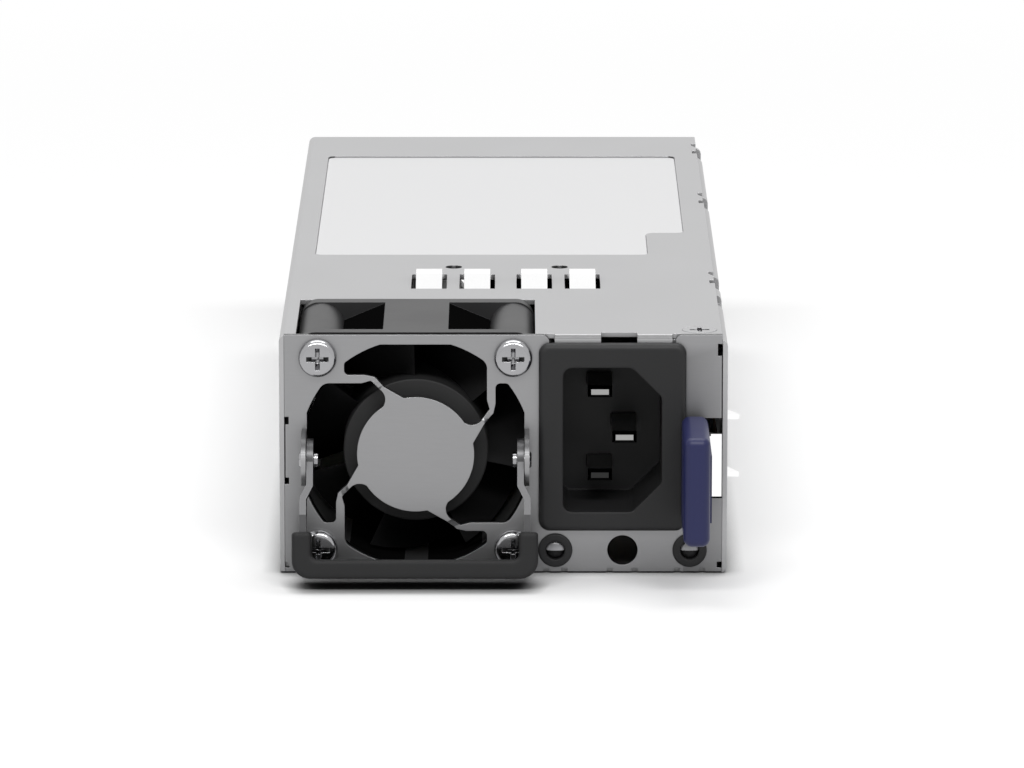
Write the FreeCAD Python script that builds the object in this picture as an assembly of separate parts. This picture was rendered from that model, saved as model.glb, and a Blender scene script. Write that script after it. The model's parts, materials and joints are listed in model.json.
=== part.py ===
import FreeCAD, Part
import math
import os

# Hot swap server power supply. Millimetres, +Z up, +Y from the front panel to the card edge at the rear.
# The origin is the centre of the housing's bottom face.

V = FreeCAD.Vector

# ---------------------------------------------------------------- driving dimensions
# housing
width = 73.5
height = 40.0
length = 185.0
sheet = 0.8            # tray, cover and rear panel
panel_sheet = 1.0      # front panel
bend = 1.2             # outer radius of the sheet's bends
seam = 0.05            # gap left where two sheets meet
lip_height = 8.0       # tray's upturned edge inside the cover's wall

# fan
fan_margin = 0.5       # housing's height beyond the fan, below and above
grid_count = 39        # steps of the grid that the fan and the grille are drawn on
fan_depth = 28.0
fan_wall_gap = 2.05    # from the cover's wall to the fan
fan_lift = 0.2         # fan centre above the housing's middle
fan_duct_wall = 1.4
fan_proud = 0.2        # frame above the cover, in its window, and as far below on the other side
fan_flange_front = 2.65
fan_flange_back = 3.0
fan_corner = 3.0
fan_boss = 3.85
fan_pad = 5.35         # half width of the flat pads along the top and bottom of the duct
fan_pad_step = 0.15    # pad above the duct's slanting sides
fan_slant = 22.7       # degrees
fan_screw_inset = 3.5
hub_start = 1.6        # hub's face behind the front panel's back
blade_count = 7
blade_overlap = 0.97   # blade's sweep as a share of the step from blade to blade
tip_gap = 0.6
shaft_radius = 1.0
running_gap = 0.04     # radial clearance of turning fits
window_gap = 0.25      # housing cut-out around the fan
press_clear = 0.04     # between the bearing tube and what is pushed onto it

# stamped grille
disc_raise = 1.0
dish_rim = 1.6         # flat ring kept around the openings while the dish is joined

# screws
screw_radius = 1.5
screw_head_radius = 3.15
screw_head_height = 1.6
thread_gap = 0.03

# inlet
inlet_gap = 0.7        # between the fan and the inlet's flange
latch_space = 6.0      # between the inlet's flange and the wall
flange_low = 7.3       # flange's lower edge above the bottom
flange_top_gap = 1.3   # and its upper edge below the top
flange_proud = 1.5
rim_across = 3.975     # flange beyond the cavity at the sides
rim_up = 3.6           # and above and below it
cavity_depth = 16.5
cavity_fillet = 1.5
socket_drop = 0.3      # the cavity and its pins below the flange's middle
chamfer_share = 0.3025
body_margin = 1.2      # flange beyond the body, each side
body_depth = 20.0
pin_width = 4.0
pin_thickness = 2.0
pin_pitch = 14.0
pin_offset = 2.0
pin_length = 11.5      # line and neutral, from the cavity's floor
earth_pin_length = 14.4  # longer, so that earth makes contact first
panel_fit = 0.15

# indicators and cord retainer hole
row_height = 3.87
retainer_radius = 2.5
bezel_radius = 2.82
bezel_proud = 0.4
barrel_radius = 2.1
lens_radius = 1.5
indicator_share = 0.4576   # indicator beside the hole, as a share of the flange's width
retainer_share = 0.0704    # hole to the right of the inlet's middle

# handle
pivot_out = 4.0        # handle pivot in front of the panel
ear_sheet = 0.8
ear_radius = 4.3
strap_sheet = 1.05
strap_gap = 0.12       # between ear and strap
strap_joggle = 1.1
pivot_pin_radius = 0.9
pivot_head_radius = 1.25
grip_floor = 2.1       # how far short of the housing's bottom the drop from pivot to bar ends
grip_bar = 3.1
grip_depth = 8.0
grip_forward = 1.9
grip_upright = 7.6
grip_wall = 1.05
handle_tilt = 13.0

# latch
latch_low = 13.0
latch_height = 10.5
latch_sheet = 0.75
latch_gap = 0.15       # between the latch and the wall
hook_reach = 2.35
hook_back = 14.5       # locking face behind the panel's face
hook_ramp = 5.9
latch_hinge = 62.0
leaf_length = 17.0
tab_width = 4.3
tab_length = 18.4
tab_low = 9.0
tab_height = 18.1
tab_clear = 2.3        # tab's back in front of the panel's face

# label recess and cover slots
label_depth = 0.45
label_thick = 0.15
label_front = 68.8
label_rear_gap = 20.4
label_margin = 4.15
label_right_margin = 5.25
label_corner = 1.4
label_gap = 0.12       # label short of its recess
label_step_x = 6.6
label_step_y = 20.1
slot_width = 6.0
slot_length = 12.7
slot_back = 51.5
slot_pitch = 8.15
slot_middle = 0.35
slot_gap = 9.65        # between the two middle slots
datum_hole_radius = 1.45
datum_hole_back = 6.3  # behind the slots
finger_width = 4.4
finger_rise = 1.75
finger_sheet = 0.2

# electronics
board_thick = 1.6
board_lift = 4.0       # board's underside above the outside bottom
board_gap = 3.95       # behind the fan
board_side = 3.25      # board short of the housing's side
tongue_inset = 10.75   # card edge tongue short of the housing's side
tongue_reach = 9.0
across_count = 74      # steps of the grid that the parts on the board are laid out on
along_count = 150
up_count = 34
standoff_radius = 2.6

# ---------------------------------------------------------------- places worked out from the sizes
left = -width / 2
right = width / 2
front = -length / 2
rear = length / 2
inner_left = left + sheet
inner_right = right - sheet
under_cover = height - sheet
panel_back = front + panel_sheet
fan_size = height - 2 * fan_margin
grid = fan_size / grid_count
fan_bore = 18.8 * grid
fan_screw_pitch = fan_size - 2 * fan_screw_inset
hub_radius = 12.0 * grid
disc_radius = 9.6 * grid
slope_start = 12.4 * grid
slope_end = 13.9 * grid
opening_radius = 19.1 * grid
opening_flat = 18.2 * grid
arm_reach = 18.6 * grid          # from the fan's axis to the ends of the grille's arms
fan_x = inner_left + fan_wall_gap + fan_size / 2
fan_z = height / 2 + fan_lift
frame_half = height + fan_proud - fan_z      # half the fan frame's height
fan_front = panel_back + seam
fan_back = fan_front + fan_depth
flange_left = fan_x + fan_size / 2 + inlet_gap
flange_right = inner_right - latch_space
flange_width = flange_right - flange_left
flange_height = height - flange_low - flange_top_gap
inlet_x = flange_left + flange_width / 2
inlet_z = flange_low + flange_height / 2
socket_z = inlet_z - socket_drop
cavity_width = flange_width - 2 * rim_across
cavity_height = flange_height - 2 * rim_up
cavity_chamfer = cavity_width * chamfer_share
retainer_x = inlet_x + flange_width * retainer_share
indicator_pitch = flange_width * indicator_share
grip_drop = height / 2 - grip_floor
board_bottom = board_lift
board_top = board_lift + board_thick
board_y = fan_back + board_gap
board_back = rear - sheet - 1.0
board_half = width / 2 - board_side
tongue_width = width - 2 * tongue_inset
across = width / across_count
along = (board_back - board_y) / along_count
up = (under_cover - board_top) / up_count
parts = {}


# ---------------------------------------------------------------- shape helpers
def block(x0, x1, y0, y1, z0, z1):
    return Part.makeBox(x1 - x0, y1 - y0, z1 - z0, V(x0, y0, z0))


def rod(radius, start, end):
    path = end.sub(start)
    return Part.makeCylinder(radius, path.Length, start, path)


def cone(radius_start, radius_end, start, end):
    path = end.sub(start)
    return Part.makeCone(radius_start, radius_end, path.Length, start, path)


def ring(outer, inner, start, end):
    return rod(outer, start, end).cut(rod(inner, start, end))


def closed(points):
    return Part.Face(Part.makePolygon(points + [points[0]]))


def slab_xz(points, y0, y1):
    return closed([V(x, y0, z) for x, z in points]).extrude(V(0, y1 - y0, 0))


def slab_xy(points, z0, z1):
    return closed([V(x, y, z0) for x, y in points]).extrude(V(0, 0, z1 - z0))


def slab_yz(points, x0, x1):
    return closed([V(x0, y, z) for y, z in points]).extrude(V(x1 - x0, 0, 0))


def joined(shapes):
    whole = shapes[0]
    for shape in shapes[1:]:
        whole = whole.fuse(shape)
    return whole.removeSplitter()


def cut_all(shape, tools):
    for tool in tools:
        shape = shape.cut(tool)
    return shape


def group(shapes):
    return Part.makeCompound(shapes)


def rounded_block(x0, x1, y0, y1, z0, z1, radius, axis):
    """A box whose four edges along one axis are rounded."""
    box = block(x0, x1, y0, y1, z0, z1)
    chosen = [e for e in box.Edges if abs(e.tangentAt(e.FirstParameter).dot(axis)) > 0.99]
    return box.makeFillet(radius, chosen)


def mirrored(shape, x):
    return shape.mirror(V(x, 0, 0), V(1, 0, 0))


def strip(points, thickness):
    """Outline of a bent strip: the middle line offset to both sides, mitred at its corners."""
    count = len(points)
    sides = [[], []]
    for i in range(count):
        before = points[max(i - 1, 0)]
        here = points[i]
        after = points[min(i + 1, count - 1)]
        a = V(here[0] - before[0], here[1] - before[1], 0)
        b = V(after[0] - here[0], after[1] - here[1], 0)
        a = a if a.Length > 0 else b
        b = b if b.Length > 0 else a
        a = a.normalize()
        b = b.normalize()
        middle = V(-(a.y + b.y), a.x + b.x, 0).normalize()
        reach = thickness / 2 / middle.dot(V(-a.y, a.x, 0))
        sides[0].append((here[0] + middle.x * reach, here[1] + middle.y * reach))
        sides[1].append((here[0] - middle.x * reach, here[1] - middle.y * reach))
    return sides[0] + sides[1][::-1]


def arc(centre, radius, start, end):
    """Arc in the XZ plane from angle start to angle end in degrees, measured from +X towards +Z."""
    angles = [math.radians(start + (end - start) * part) for part in (0, 0.5, 1)]
    ends = [V(centre.x + radius * math.cos(a), centre.y, centre.z + radius * math.sin(a)) for a in angles]
    return Part.Arc(ends[0], ends[1], ends[2]).toShape()


def pan_screw(x, z, y_seat, shank_length):
    """Pan head screw whose head lies in front of y_seat and whose shank points to +Y."""
    head_face = y_seat - screw_head_height
    dome = 1.1
    profile = [V(0, 0, 0), V(screw_head_radius, 0, 0), V(screw_head_radius, 0, 0.4)]
    outline = Part.makePolygon(profile)
    shoulder = Part.Arc(V(screw_head_radius, 0, 0.4), V(screw_head_radius - 0.25, 0, 0.4 + dome * 0.75),
                        V(screw_head_radius - 0.85, 0, screw_head_height)).toShape()
    top = Part.makePolygon([V(screw_head_radius - 0.85, 0, screw_head_height), V(0, 0, screw_head_height),
                            V(0, 0, 0)])
    face = Part.Face(Part.Wire(outline.Edges + [shoulder] + top.Edges))
    head = face.revolve(V(0, 0, 0), V(0, 0, 1), 360)
    head.rotate(V(0, 0, 0), V(1, 0, 0), 90)
    head.translate(V(x, y_seat, z))
    shank = rod(screw_radius, V(x, y_seat, z), V(x, y_seat + shank_length, z))
    reach = 1.85
    half = 0.42
    cross = [block(x - reach, x + reach, head_face - 0.1, head_face + 0.8, z - half, z + half),
             block(x - half, x + half, head_face - 0.1, head_face + 0.8, z - reach, z + reach)]
    return cut_all(head.fuse(shank), cross)


# ---------------------------------------------------------------- housing
def bent_profile(y):
    """Tray section: lip on the left, bottom, right wall and the flange turned in under the cover."""
    top = under_cover - seam
    x0 = inner_left + seam
    flange_in = right - 2.6
    inside = bend - sheet
    edges = [
        Part.makeLine(V(x0, y, lip_height), V(x0, y, bend)),
        arc(V(x0 + bend, y, bend), bend, 180, 270),
        Part.makeLine(V(x0 + bend, y, 0), V(right - bend, y, 0)),
        arc(V(right - bend, y, bend), bend, 270, 360),
        Part.makeLine(V(right, y, bend), V(right, y, top - bend)),
        arc(V(right - bend, y, top - bend), bend, 0, 90),
        Part.makeLine(V(right - bend, y, top), V(flange_in, y, top)),
        Part.makeLine(V(flange_in, y, top), V(flange_in, y, top - sheet)),
        Part.makeLine(V(flange_in, y, top - sheet), V(right - bend, y, top - sheet)),
        arc(V(right - bend, y, top - bend), inside, 90, 0),
        Part.makeLine(V(inner_right, y, top - bend), V(inner_right, y, bend)),
        arc(V(right - bend, y, bend), inside, 0, -90),
        Part.makeLine(V(right - bend, y, sheet), V(x0 + bend, y, sheet)),
        arc(V(x0 + bend, y, bend), inside, 270, 180),
        Part.makeLine(V(x0 + sheet, y, bend), V(x0 + sheet, y, lip_height)),
        Part.makeLine(V(x0 + sheet, y, lip_height), V(x0, y, lip_height)),
    ]
    return Part.Face(Part.Wire(edges))


tongue_places = [front + length * share for share in (0.2627, 0.6611, 0.9324)]
tongue_window = 10.0
wall_notch_front = front + 29.1
wall_notch_back = front + 37.7
rear_notch = 6.5
cover_right = right - 1.0
fan_window = [fan_x - fan_size / 2 - window_gap / 2, fan_x + fan_size / 2 + window_gap / 2,
              panel_back, fan_back + window_gap]
cover_screw_x = right - 4.55
cover_screw_y = front + 4.4
leaf_start = front + latch_hinge + 0.2
leaf_rivets = [leaf_start + 4.5, leaf_start + leaf_length - 4.5]
latch_middle = latch_low + latch_height / 2
latch_rivet_radius = 1.5
datum_hole_y = front + slot_back + datum_hole_back
lip_left = flange_left + 2.6           # lip of the cover above the inlet
lip_right = flange_right - 2.3
lip_notch_left = inlet_x - 1.9
lip_notch_right = inlet_x + 4.05


def hook_slots():
    slots = []
    for z in (latch_low, latch_low + latch_height - latch_sheet):
        slots.append(block(inner_right - 1, right + 1, front + hook_back - 0.9,
                           front + hook_back + hook_ramp + 2.2, z - 0.3, z + latch_sheet + 0.3))
    return slots


def base_tray():
    tray = bent_profile(front).extrude(V(0, length, 0))
    tools = [block(fan_window[0], fan_window[1], front - 1, fan_window[3], -1, sheet + 1)]
    # room for the front panel, which stands on no part of the bottom
    tools.append(block(left, inner_right, front - 1, panel_back + seam, -1, height + 1))
    # the wall's bent edge is cut away at the rear corner, behind the fan and at each locking tongue
    tools.append(block(right - 4, right + 1, rear - rear_notch, rear + 1, height - 3.2, height + 1))
    tools.append(block(cover_right + 0.05, right + 1, wall_notch_front, wall_notch_back, height - 2.4,
                       height + 1))
    for y in tongue_places:
        tools.append(block(right - 1.9, right + 1, y - tongue_window / 2, y + tongue_window / 2,
                           height - 3.4, height + 1))
    tools += hook_slots()
    for y in leaf_rivets:
        tools.append(rod(latch_rivet_radius + thread_gap, V(inner_right - 1, y, latch_middle),
                         V(right + 1, y, latch_middle)))
    # the flange makes way for the front panel's screw tab
    tools.append(block(right - 4, inner_right - 0.4, front - 1, front + 9.5, height - 3, height + 1))
    return cut_all(tray, tools)


def top_cover():
    inside = bend - sheet
    low = 0.25
    y = front
    edges = [
        Part.makeLine(V(left, y, low), V(left, y, height - bend)),
        arc(V(left + bend, y, height - bend), bend, 180, 90),
        Part.makeLine(V(left + bend, y, height), V(cover_right, y, height)),
        Part.makeLine(V(cover_right, y, height), V(cover_right, y, under_cover)),
        Part.makeLine(V(cover_right, y, under_cover), V(left + bend, y, under_cover)),
        arc(V(left + bend, y, height - bend), inside, 90, 180),
        Part.makeLine(V(inner_left, y, height - bend), V(inner_left, y, low)),
        Part.makeLine(V(inner_left, y, low), V(left, y, low)),
    ]
    cover = Part.Face(Part.Wire(edges)).extrude(V(0, length, 0))
    tools = [
        block(fan_window[0], fan_window[1], front - 1, fan_window[3], under_cover - 1, height + 1),
        # the panel stands in front of the cover, except above the inlet
        block(inner_left, lip_left - 0.1, front - 1, panel_back + seam, under_cover - 1, height + 1),
        block(lip_right + 0.1, right, front - 1, panel_back + seam, under_cover - 1, height + 1),
        # notch in the middle of the lip
        block(lip_notch_left, lip_notch_right, front - 1, front + 2.2, under_cover - 4, height + 1),
    ]
    for place in slot_places():
        tools.append(block(place - slot_width / 2, place + slot_width / 2, front + slot_back - slot_length,
                           front + slot_back, under_cover - 1, height + 1))
    for x in datum_holes():
        tools.append(rod(datum_hole_radius, V(x, datum_hole_y, under_cover - 1),
                         V(x, datum_hole_y, height + 1)))
    tools.append(label_outline(0.0, label_depth, 0.8))
    head = 2.9
    tools.append(cone(1.6, head + 0.05, V(cover_screw_x, cover_screw_y, under_cover),
                      V(cover_screw_x, cover_screw_y, height)))
    for yt in tongue_places:
        tools.append(block(right - 1.9, right, yt - tongue_window / 2, yt + tongue_window / 2,
                           under_cover - 1, height + 1))
    cover = cut_all(cover, tools)
    # lip bent down in front of the inlet's top, with its notch
    lip_low = inlet_z + flange_height / 2 - 1.0
    lips = []
    for x0, x1 in ((lip_left, lip_notch_left), (lip_notch_right, lip_right)):
        lip = block(x0, x1, front, front + sheet, lip_low, height)
        edge = [e for e in lip.Edges if e.BoundBox.YMax < front + 0.01 and e.BoundBox.ZMin > height - 0.01]
        lips.append(lip.makeFillet(sheet * 0.9, edge))
        lips.append(block(x0, x1, front + sheet * 0.9, front + 3, under_cover, height))
    # corner of the plate above the lip is rounded with it
    corner = block(lip_left - 1, lip_right + 1, front - 1, front + sheet * 0.9, lip_low, height + 1)
    cover = joined([cover.cut(corner)] + lips)
    # locking tongues bent down into the tray's windows
    tongues = []
    for yt in tongue_places:
        tongues.append(slab_xy([(right - 1.95, yt + 1.2), (right - 1.95, yt + 3.4),
                                (cover_right - 0.1, yt + 1.4), (cover_right - 0.1, yt - 2.2)],
                               under_cover, height))
        tongues.append(block(cover_right - 0.9, cover_right - 0.1, yt - 2.2, yt + 1.6, height - 3.3, height))
    return joined([cover] + tongues)


def slot_places():
    near = slot_gap / 2
    far = near + slot_pitch
    return [slot_middle - far, slot_middle - near, slot_middle + near, slot_middle + far]


def datum_holes():
    """The two round holes behind the slots, one between each pair."""
    middle = slot_gap / 2 + slot_pitch / 2
    return [slot_middle - middle, slot_middle + middle + 0.3]


def label_outline(shrink, depth_top, depth_bottom_from):
    """Label shape: a rectangle with its front right corner stepped back. Spans the given depths."""
    x0 = left + label_margin + shrink
    x1 = right - label_right_margin - shrink
    y0 = front + label_front + shrink
    y1 = rear - label_rear_gap - shrink
    step_x = x1 - label_step_x
    step_y = y0 + label_step_y
    z0 = height - depth_top
    z1 = height + depth_bottom_from
    shape = slab_xy([(x0, y0), (step_x, y0), (step_x, step_y), (x1, step_y), (x1, y1), (x0, y1)], z0, z1)
    corner = label_corner - shrink
    upright = [e for e in shape.Edges if abs(e.BoundBox.ZLength) > 0.1 and e.BoundBox.XLength < 0.01
               and e.BoundBox.YLength < 0.01]
    return shape.makeFillet(corner, upright)


def rating_label():
    low = height - label_depth
    label = label_outline(label_gap, label_depth, 0.8)
    keep = block(left, right, front, rear, low, low + label_thick)
    return label.common(keep)


def rear_panel():
    x0 = inner_left + seam + sheet + seam
    x1 = inner_right - seam
    z0 = sheet + seam
    z1 = under_cover - sheet - 2 * seam
    panel = rounded_block(x0, x1, rear - sheet, rear, z0, z1, bend, V(0, 1, 0))
    vent = 1.75
    pitch_x = 4.3
    pitch_z = pitch_x * math.sqrt(3) / 2
    tools = []
    slot_top = board_top + 3.0
    tools.append(block(-tongue_width / 2 - 1, tongue_width / 2 + 1, rear - 2, rear + 1, board_bottom - 2.0,
                       slot_top))
    rows = int((z1 - slot_top - 2.5) / pitch_z)
    columns = int((x1 - x0 - 3) / pitch_x)
    for row in range(rows):
        z = slot_top + 3.0 + row * pitch_z
        shift = (row % 2) * pitch_x / 2
        for column in range(columns - row % 2):
            x = (x0 + x1) / 2 + (column - (columns - 1) / 2) * pitch_x + shift
            corners = [(x + vent * math.sin(math.radians(60 * k)), z + vent * math.cos(math.radians(60 * k)))
                       for k in range(6)]
            tools.append(slab_xz(corners, rear - 2, rear + 1))
    panel = panel.cut(Part.makeCompound(tools))
    flange = block(x0 + 2, x1 - 2, rear - sheet - 5, rear - sheet, z0, z0 + sheet)
    return joined([panel, flange])


# ---------------------------------------------------------------- front panel
def opening(quarter, flat):
    """One of the grille's four openings, about the fan's axis, turned by quarter turns. In grid steps."""
    r = opening_radius / grid
    disc = disc_radius / grid
    flat_steps = flat / grid
    flat_half = math.sqrt(r * r - flat_steps * flat_steps)
    side = 11.72
    side_low = 8.9
    side_high = math.sqrt(r * r - side * side)
    left_side = -11.7
    left_high = math.sqrt(r * r - left_side * left_side)
    heel = 13.1
    disc_start = math.radians(33.5)
    disc_end = math.radians(101.3)

    def at(x, z):
        return V(x * grid, 0, z * grid)

    def line(x0, z0, x1, z1):
        return Part.makeLine(at(x0, z0), at(x1, z1))

    def round_edge(radius, x0, z0, x1, z1):
        start = math.atan2(z0, x0)
        end = math.atan2(z1, x1)
        middle = (start + end) / 2
        through = at(radius * math.cos(middle), radius * math.sin(middle))
        return Part.Arc(at(x0, z0), through, at(x1, z1)).toShape()

    start = (disc * math.cos(disc_start), disc * math.sin(disc_start))
    end = (disc * math.cos(disc_end), disc * math.sin(disc_end))
    outline = [
        line(-flat_half, flat_steps, flat_half, flat_steps),
        round_edge(r, flat_half, flat_steps, side, side_high),
        line(side, side_high, side, side_low),
        line(side, side_low, 12.15, 7.35),
        line(12.15, 7.35, 11.0, 5.95),
        Part.Arc(at(11.0, 5.95), at(9.45, 4.95), at(start[0], start[1])).toShape(),
        round_edge(disc, start[0], start[1], end[0], end[1]),
        line(end[0], end[1], -5.1, 11.25),
        line(-5.1, 11.25, -6.7, heel - 0.35),
        line(-6.7, heel - 0.35, -8.3, heel),
        line(-8.3, heel, left_side, heel),
        line(left_side, heel, left_side, left_high),
        round_edge(r, left_side, left_high, -flat_half, flat_steps),
    ]
    depth = 6.0
    hole = Part.Face(Part.Wire(outline)).extrude(V(0, depth, 0))
    for x, z, radius in ((side, side_high, 1.8), (left_side, left_high, 0.7), (left_side, heel, 0.8)):
        corner = at(x, z) + V(0, depth / 2, 0)
        edge = [e for e in hole.Edges if e.BoundBox.YLength > depth - 0.1
                and e.BoundBox.Center.sub(corner).Length < 0.01]
        hole = hole.makeFillet(radius * grid, edge)
    hole.rotate(V(0, 0, 0), V(0, 1, 0), -90 * quarter)
    hole.translate(V(fan_x, front - depth / 2, fan_z))
    return hole


ear_inner = opening_flat - 0.35      # ear's inner face from the fan's axis
pivot_y = front - pivot_out
pivot_z = height / 2


def ear():
    """Left ear, standing forward from the panel's face, with the hole for the handle's rivet.
    Both ears are one node of their own, so that the gap behind the handle stays open."""
    x1 = fan_x - ear_inner
    x0 = x1 - ear_sheet
    arm = block(x0, x1, pivot_y, front, pivot_z - ear_radius, pivot_z + ear_radius)
    nose = rod(ear_radius, V(x0, pivot_y, pivot_z), V(x1, pivot_y, pivot_z))
    hole = rod(pivot_pin_radius + thread_gap, V(x0 - 1, pivot_y, pivot_z), V(x1 + 1, pivot_y, pivot_z))
    behind = block(x0 - 1, x1 + 1, front, panel_back, pivot_z - 2 * ear_radius, pivot_z + 2 * ear_radius)
    return cut_all(joined([arm, nose]), [hole, behind])


latch_outer = inner_right - latch_gap          # latch arm's face beside the wall
latch_inner = latch_outer - latch_sheet
core_left = latch_outer - 2.55                 # web's inner end at rest
low_edge_inset = 1.7                           # panel's low top edge, inside the inlet's flange
left_flange_low = 16.1                         # flanges turned in at the panel's sides
left_flange_high = 25.0
flange_bend = 0.35                             # outer radius seen where they turn
right_flange_low = height - 13.0
right_flange_high = height - 3.5


def panel_stamping():
    """The front plate with its dished grille, cut-outs and small flanges, as it is stamped."""
    x0 = inner_left + seam
    x1 = inner_right - seam
    low = 0.25
    plate = block(x0, x1, front, panel_back, low, height)
    dish_outer = opening_radius + dish_rim
    profile = [V(0, -disc_raise, 0), V(slope_start, -disc_raise, 0), V(slope_end, 0, 0), V(dish_outer, 0, 0),
               V(dish_outer, panel_sheet, 0), V(slope_end - 0.35, panel_sheet, 0),
               V(slope_start - 0.35, panel_sheet - disc_raise, 0), V(0, panel_sheet - disc_raise, 0)]
    dish = closed(profile).revolve(V(0, 0, 0), V(0, 1, 0), 360)
    dish.translate(V(fan_x, front, fan_z))
    rim = rod(opening_radius + dish_rim / 2, V(fan_x, front - 1, fan_z), V(fan_x, panel_back + 1, fan_z))
    dish = dish.common(block(x0, x1, front - 3, panel_back, low, height))
    plate = joined([plate.cut(rim), dish])
    tools = []
    for quarter in range(4):
        flat = opening_flat if quarter % 2 == 0 else ear_inner
        tools.append(opening(quarter, flat))
    # inlet cut-out and the low stretch of the top edge above it
    half_width = flange_width / 2 - body_margin + panel_fit
    half_height = flange_height / 2 - body_margin + panel_fit
    tools.append(block(inlet_x - half_width, inlet_x + half_width, front - 1, panel_back + 1,
                       inlet_z - half_height, inlet_z + half_height))
    low_left = flange_left + low_edge_inset
    low_right = flange_right - low_edge_inset
    tools.append(block(low_left, low_right, front - 1, panel_back + 1, inlet_z, height + 1))
    # latch slot, open to the wall
    tools.append(block(core_left - 3.5, x1 + 1, front - 1, panel_back + 1, latch_low - 0.4,
                       latch_low + latch_height + 2.6))
    # bottom row
    tools.append(rod(retainer_radius, V(retainer_x, front - 1, row_height),
                     V(retainer_x, panel_back + 1, row_height)))
    for x in indicator_places():
        tools.append(rod(barrel_radius + thread_gap, V(x, front - 1, row_height),
                         V(x, panel_back + 1, row_height)))
    # bend reliefs along the bottom edge and at the side flanges
    for x, half in ((indicator_places()[0], 1.5), (retainer_x, 2.05), (indicator_places()[1], 2.05)):
        for side in (-1, 1):
            middle = x + side * half
            tools.append(block(middle - 0.5, middle + 0.5, front - 1, panel_back + 1, low - 1, low + 0.55))
    for z0, z1 in ((left_flange_high, left_flange_high + 1.3), (left_flange_low - 1.1, left_flange_low),
                   (0.9, 1.9)):
        tools.append(block(x0 - 1, x0 + 0.7, front - 1, panel_back + 1, z0, z1))
    for z0, z1 in ((right_flange_high, right_flange_high + 2.0), (0.9, 1.9)):
        tools.append(block(x1 - 0.8, x1 + 1, front - 1, panel_back + 1, z0, z1))
    for x in fan_screw_x():
        for z in fan_screw_z():
            tools.append(rod(screw_radius + thread_gap, V(x, front - 1, z), V(x, panel_back + 1, z)))
    panel = cut_all(plate, tools)
    for edge_x, radius in ((low_left, 1.3), (low_right, 1.0)):
        corner = [e for e in panel.Edges if abs(e.BoundBox.XMin - edge_x) < 0.01
                  and e.BoundBox.XLength < 0.01 and e.BoundBox.ZMin > height - 0.01
                  and e.BoundBox.ZLength < 0.01]
        panel = panel.makeFillet(radius, corner)
    # rounded bends where the side flanges turn in
    turned = [e for e in panel.Edges if e.BoundBox.YMax < front + 0.01 and e.BoundBox.XLength < 0.01
              and (e.BoundBox.XMax < x0 + 0.01 and abs(e.BoundBox.ZMin - left_flange_low) < 0.01
                   or e.BoundBox.XMin > x1 - 0.01 and abs(e.BoundBox.ZMax - right_flange_high) < 0.01)]
    panel = panel.makeFillet(flange_bend, turned)
    tab_right = right - 4.1
    extras = [
        block(x0, x0 + sheet, panel_back - 0.2, panel_back + 6, left_flange_low, left_flange_high),
        block(x1 - sheet, x1, panel_back - 0.2, panel_back + 6, right_flange_low, right_flange_high),
        block(retainer_x - 8.0, retainer_x - 3.4, panel_back - 0.2, panel_back + 5, sheet + seam,
              2 * sheet + seam),
        block(retainer_x + 3.4, retainer_x + 7.4, panel_back - 0.2, panel_back + 5, sheet + seam,
              2 * sheet + seam),
        block(tab_right - 5.6, tab_right, panel_back - 0.2, front + 8.8, under_cover - sheet - seam,
              under_cover - seam),
    ]
    panel = joined([panel] + extras)
    screw_hole = rod(screw_radius + thread_gap, V(cover_screw_x, cover_screw_y, height - 4),
                     V(cover_screw_x, cover_screw_y, height + 1))
    return panel.cut(screw_hole)


def panel_nodes():
    """The stamping as two nodes that meet at the ends of the four arms: the grille, which is the dished
    disc with its arms, and the panel around it."""
    stamping = panel_stamping()
    tilted = block(-arm_reach, arm_reach, front - 3, panel_back + 1, -arm_reach, arm_reach)
    tilted.rotate(V(0, 0, 0), V(0, 1, 0), 45)
    tilted.translate(V(fan_x, 0, fan_z))
    axis = V(fan_x, front, fan_z)
    grille = min(stamping.common(tilted).Solids, key=lambda solid: solid.CenterOfMass.distanceToPoint(axis))
    return grille, stamping.cut(grille)


def indicator_places():
    return [retainer_x - indicator_pitch, retainer_x + indicator_pitch]


def fan_screw_x():
    return [fan_x - fan_screw_pitch / 2, fan_x + fan_screw_pitch / 2]


def fan_screw_z():
    return [fan_z - fan_screw_pitch / 2, fan_z + fan_screw_pitch / 2]


def cover_screw():
    head = cone(1.5, 2.85, V(cover_screw_x, cover_screw_y, under_cover + 0.02),
                V(cover_screw_x, cover_screw_y, height))
    shank = rod(screw_radius - 0.02, V(cover_screw_x, cover_screw_y, under_cover - 4),
                V(cover_screw_x, cover_screw_y, under_cover + 0.1))
    reach = 1.6
    half = 0.38
    cross = [block(cover_screw_x - reach, cover_screw_x + reach, cover_screw_y - half, cover_screw_y + half,
                   height - 0.6, height + 1),
             block(cover_screw_x - half, cover_screw_x + half, cover_screw_y - reach, cover_screw_y + reach,
                   height - 0.6, height + 1)]
    return cut_all(joined([head, shank]), cross)


def emi_springs():
    """Four arched fingers on one strip under the cover."""
    z = under_cover - seam - finger_sheet / 2
    back = front + slot_back + 0.4
    places = slot_places()
    strap = block(places[0] - slot_width / 2, places[-1] + slot_width / 2, back, back + 9.5,
                  z - finger_sheet / 2, z + finger_sheet / 2)
    holes = [rod(datum_hole_radius, V(x, datum_hole_y, z - 1), V(x, datum_hole_y, z + 1))
             for x in datum_holes()]
    strap = cut_all(strap, holes)
    start = back
    crest = height + finger_rise
    end = front + slot_back - slot_length + 0.5
    line = [(start + 0.3, z), (start - 1.2, z), (start - 3.6, crest - 0.5), (start - 4.6, crest - 0.1),
            (start - 5.6, crest - 0.1), (start - 6.6, crest - 0.5), (end, height - 0.2)]
    fingers = []
    for x in places:
        fingers.append(slab_yz(strip(line, finger_sheet), x - finger_width / 2, x + finger_width / 2))
    return joined([strap] + fingers)


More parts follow.
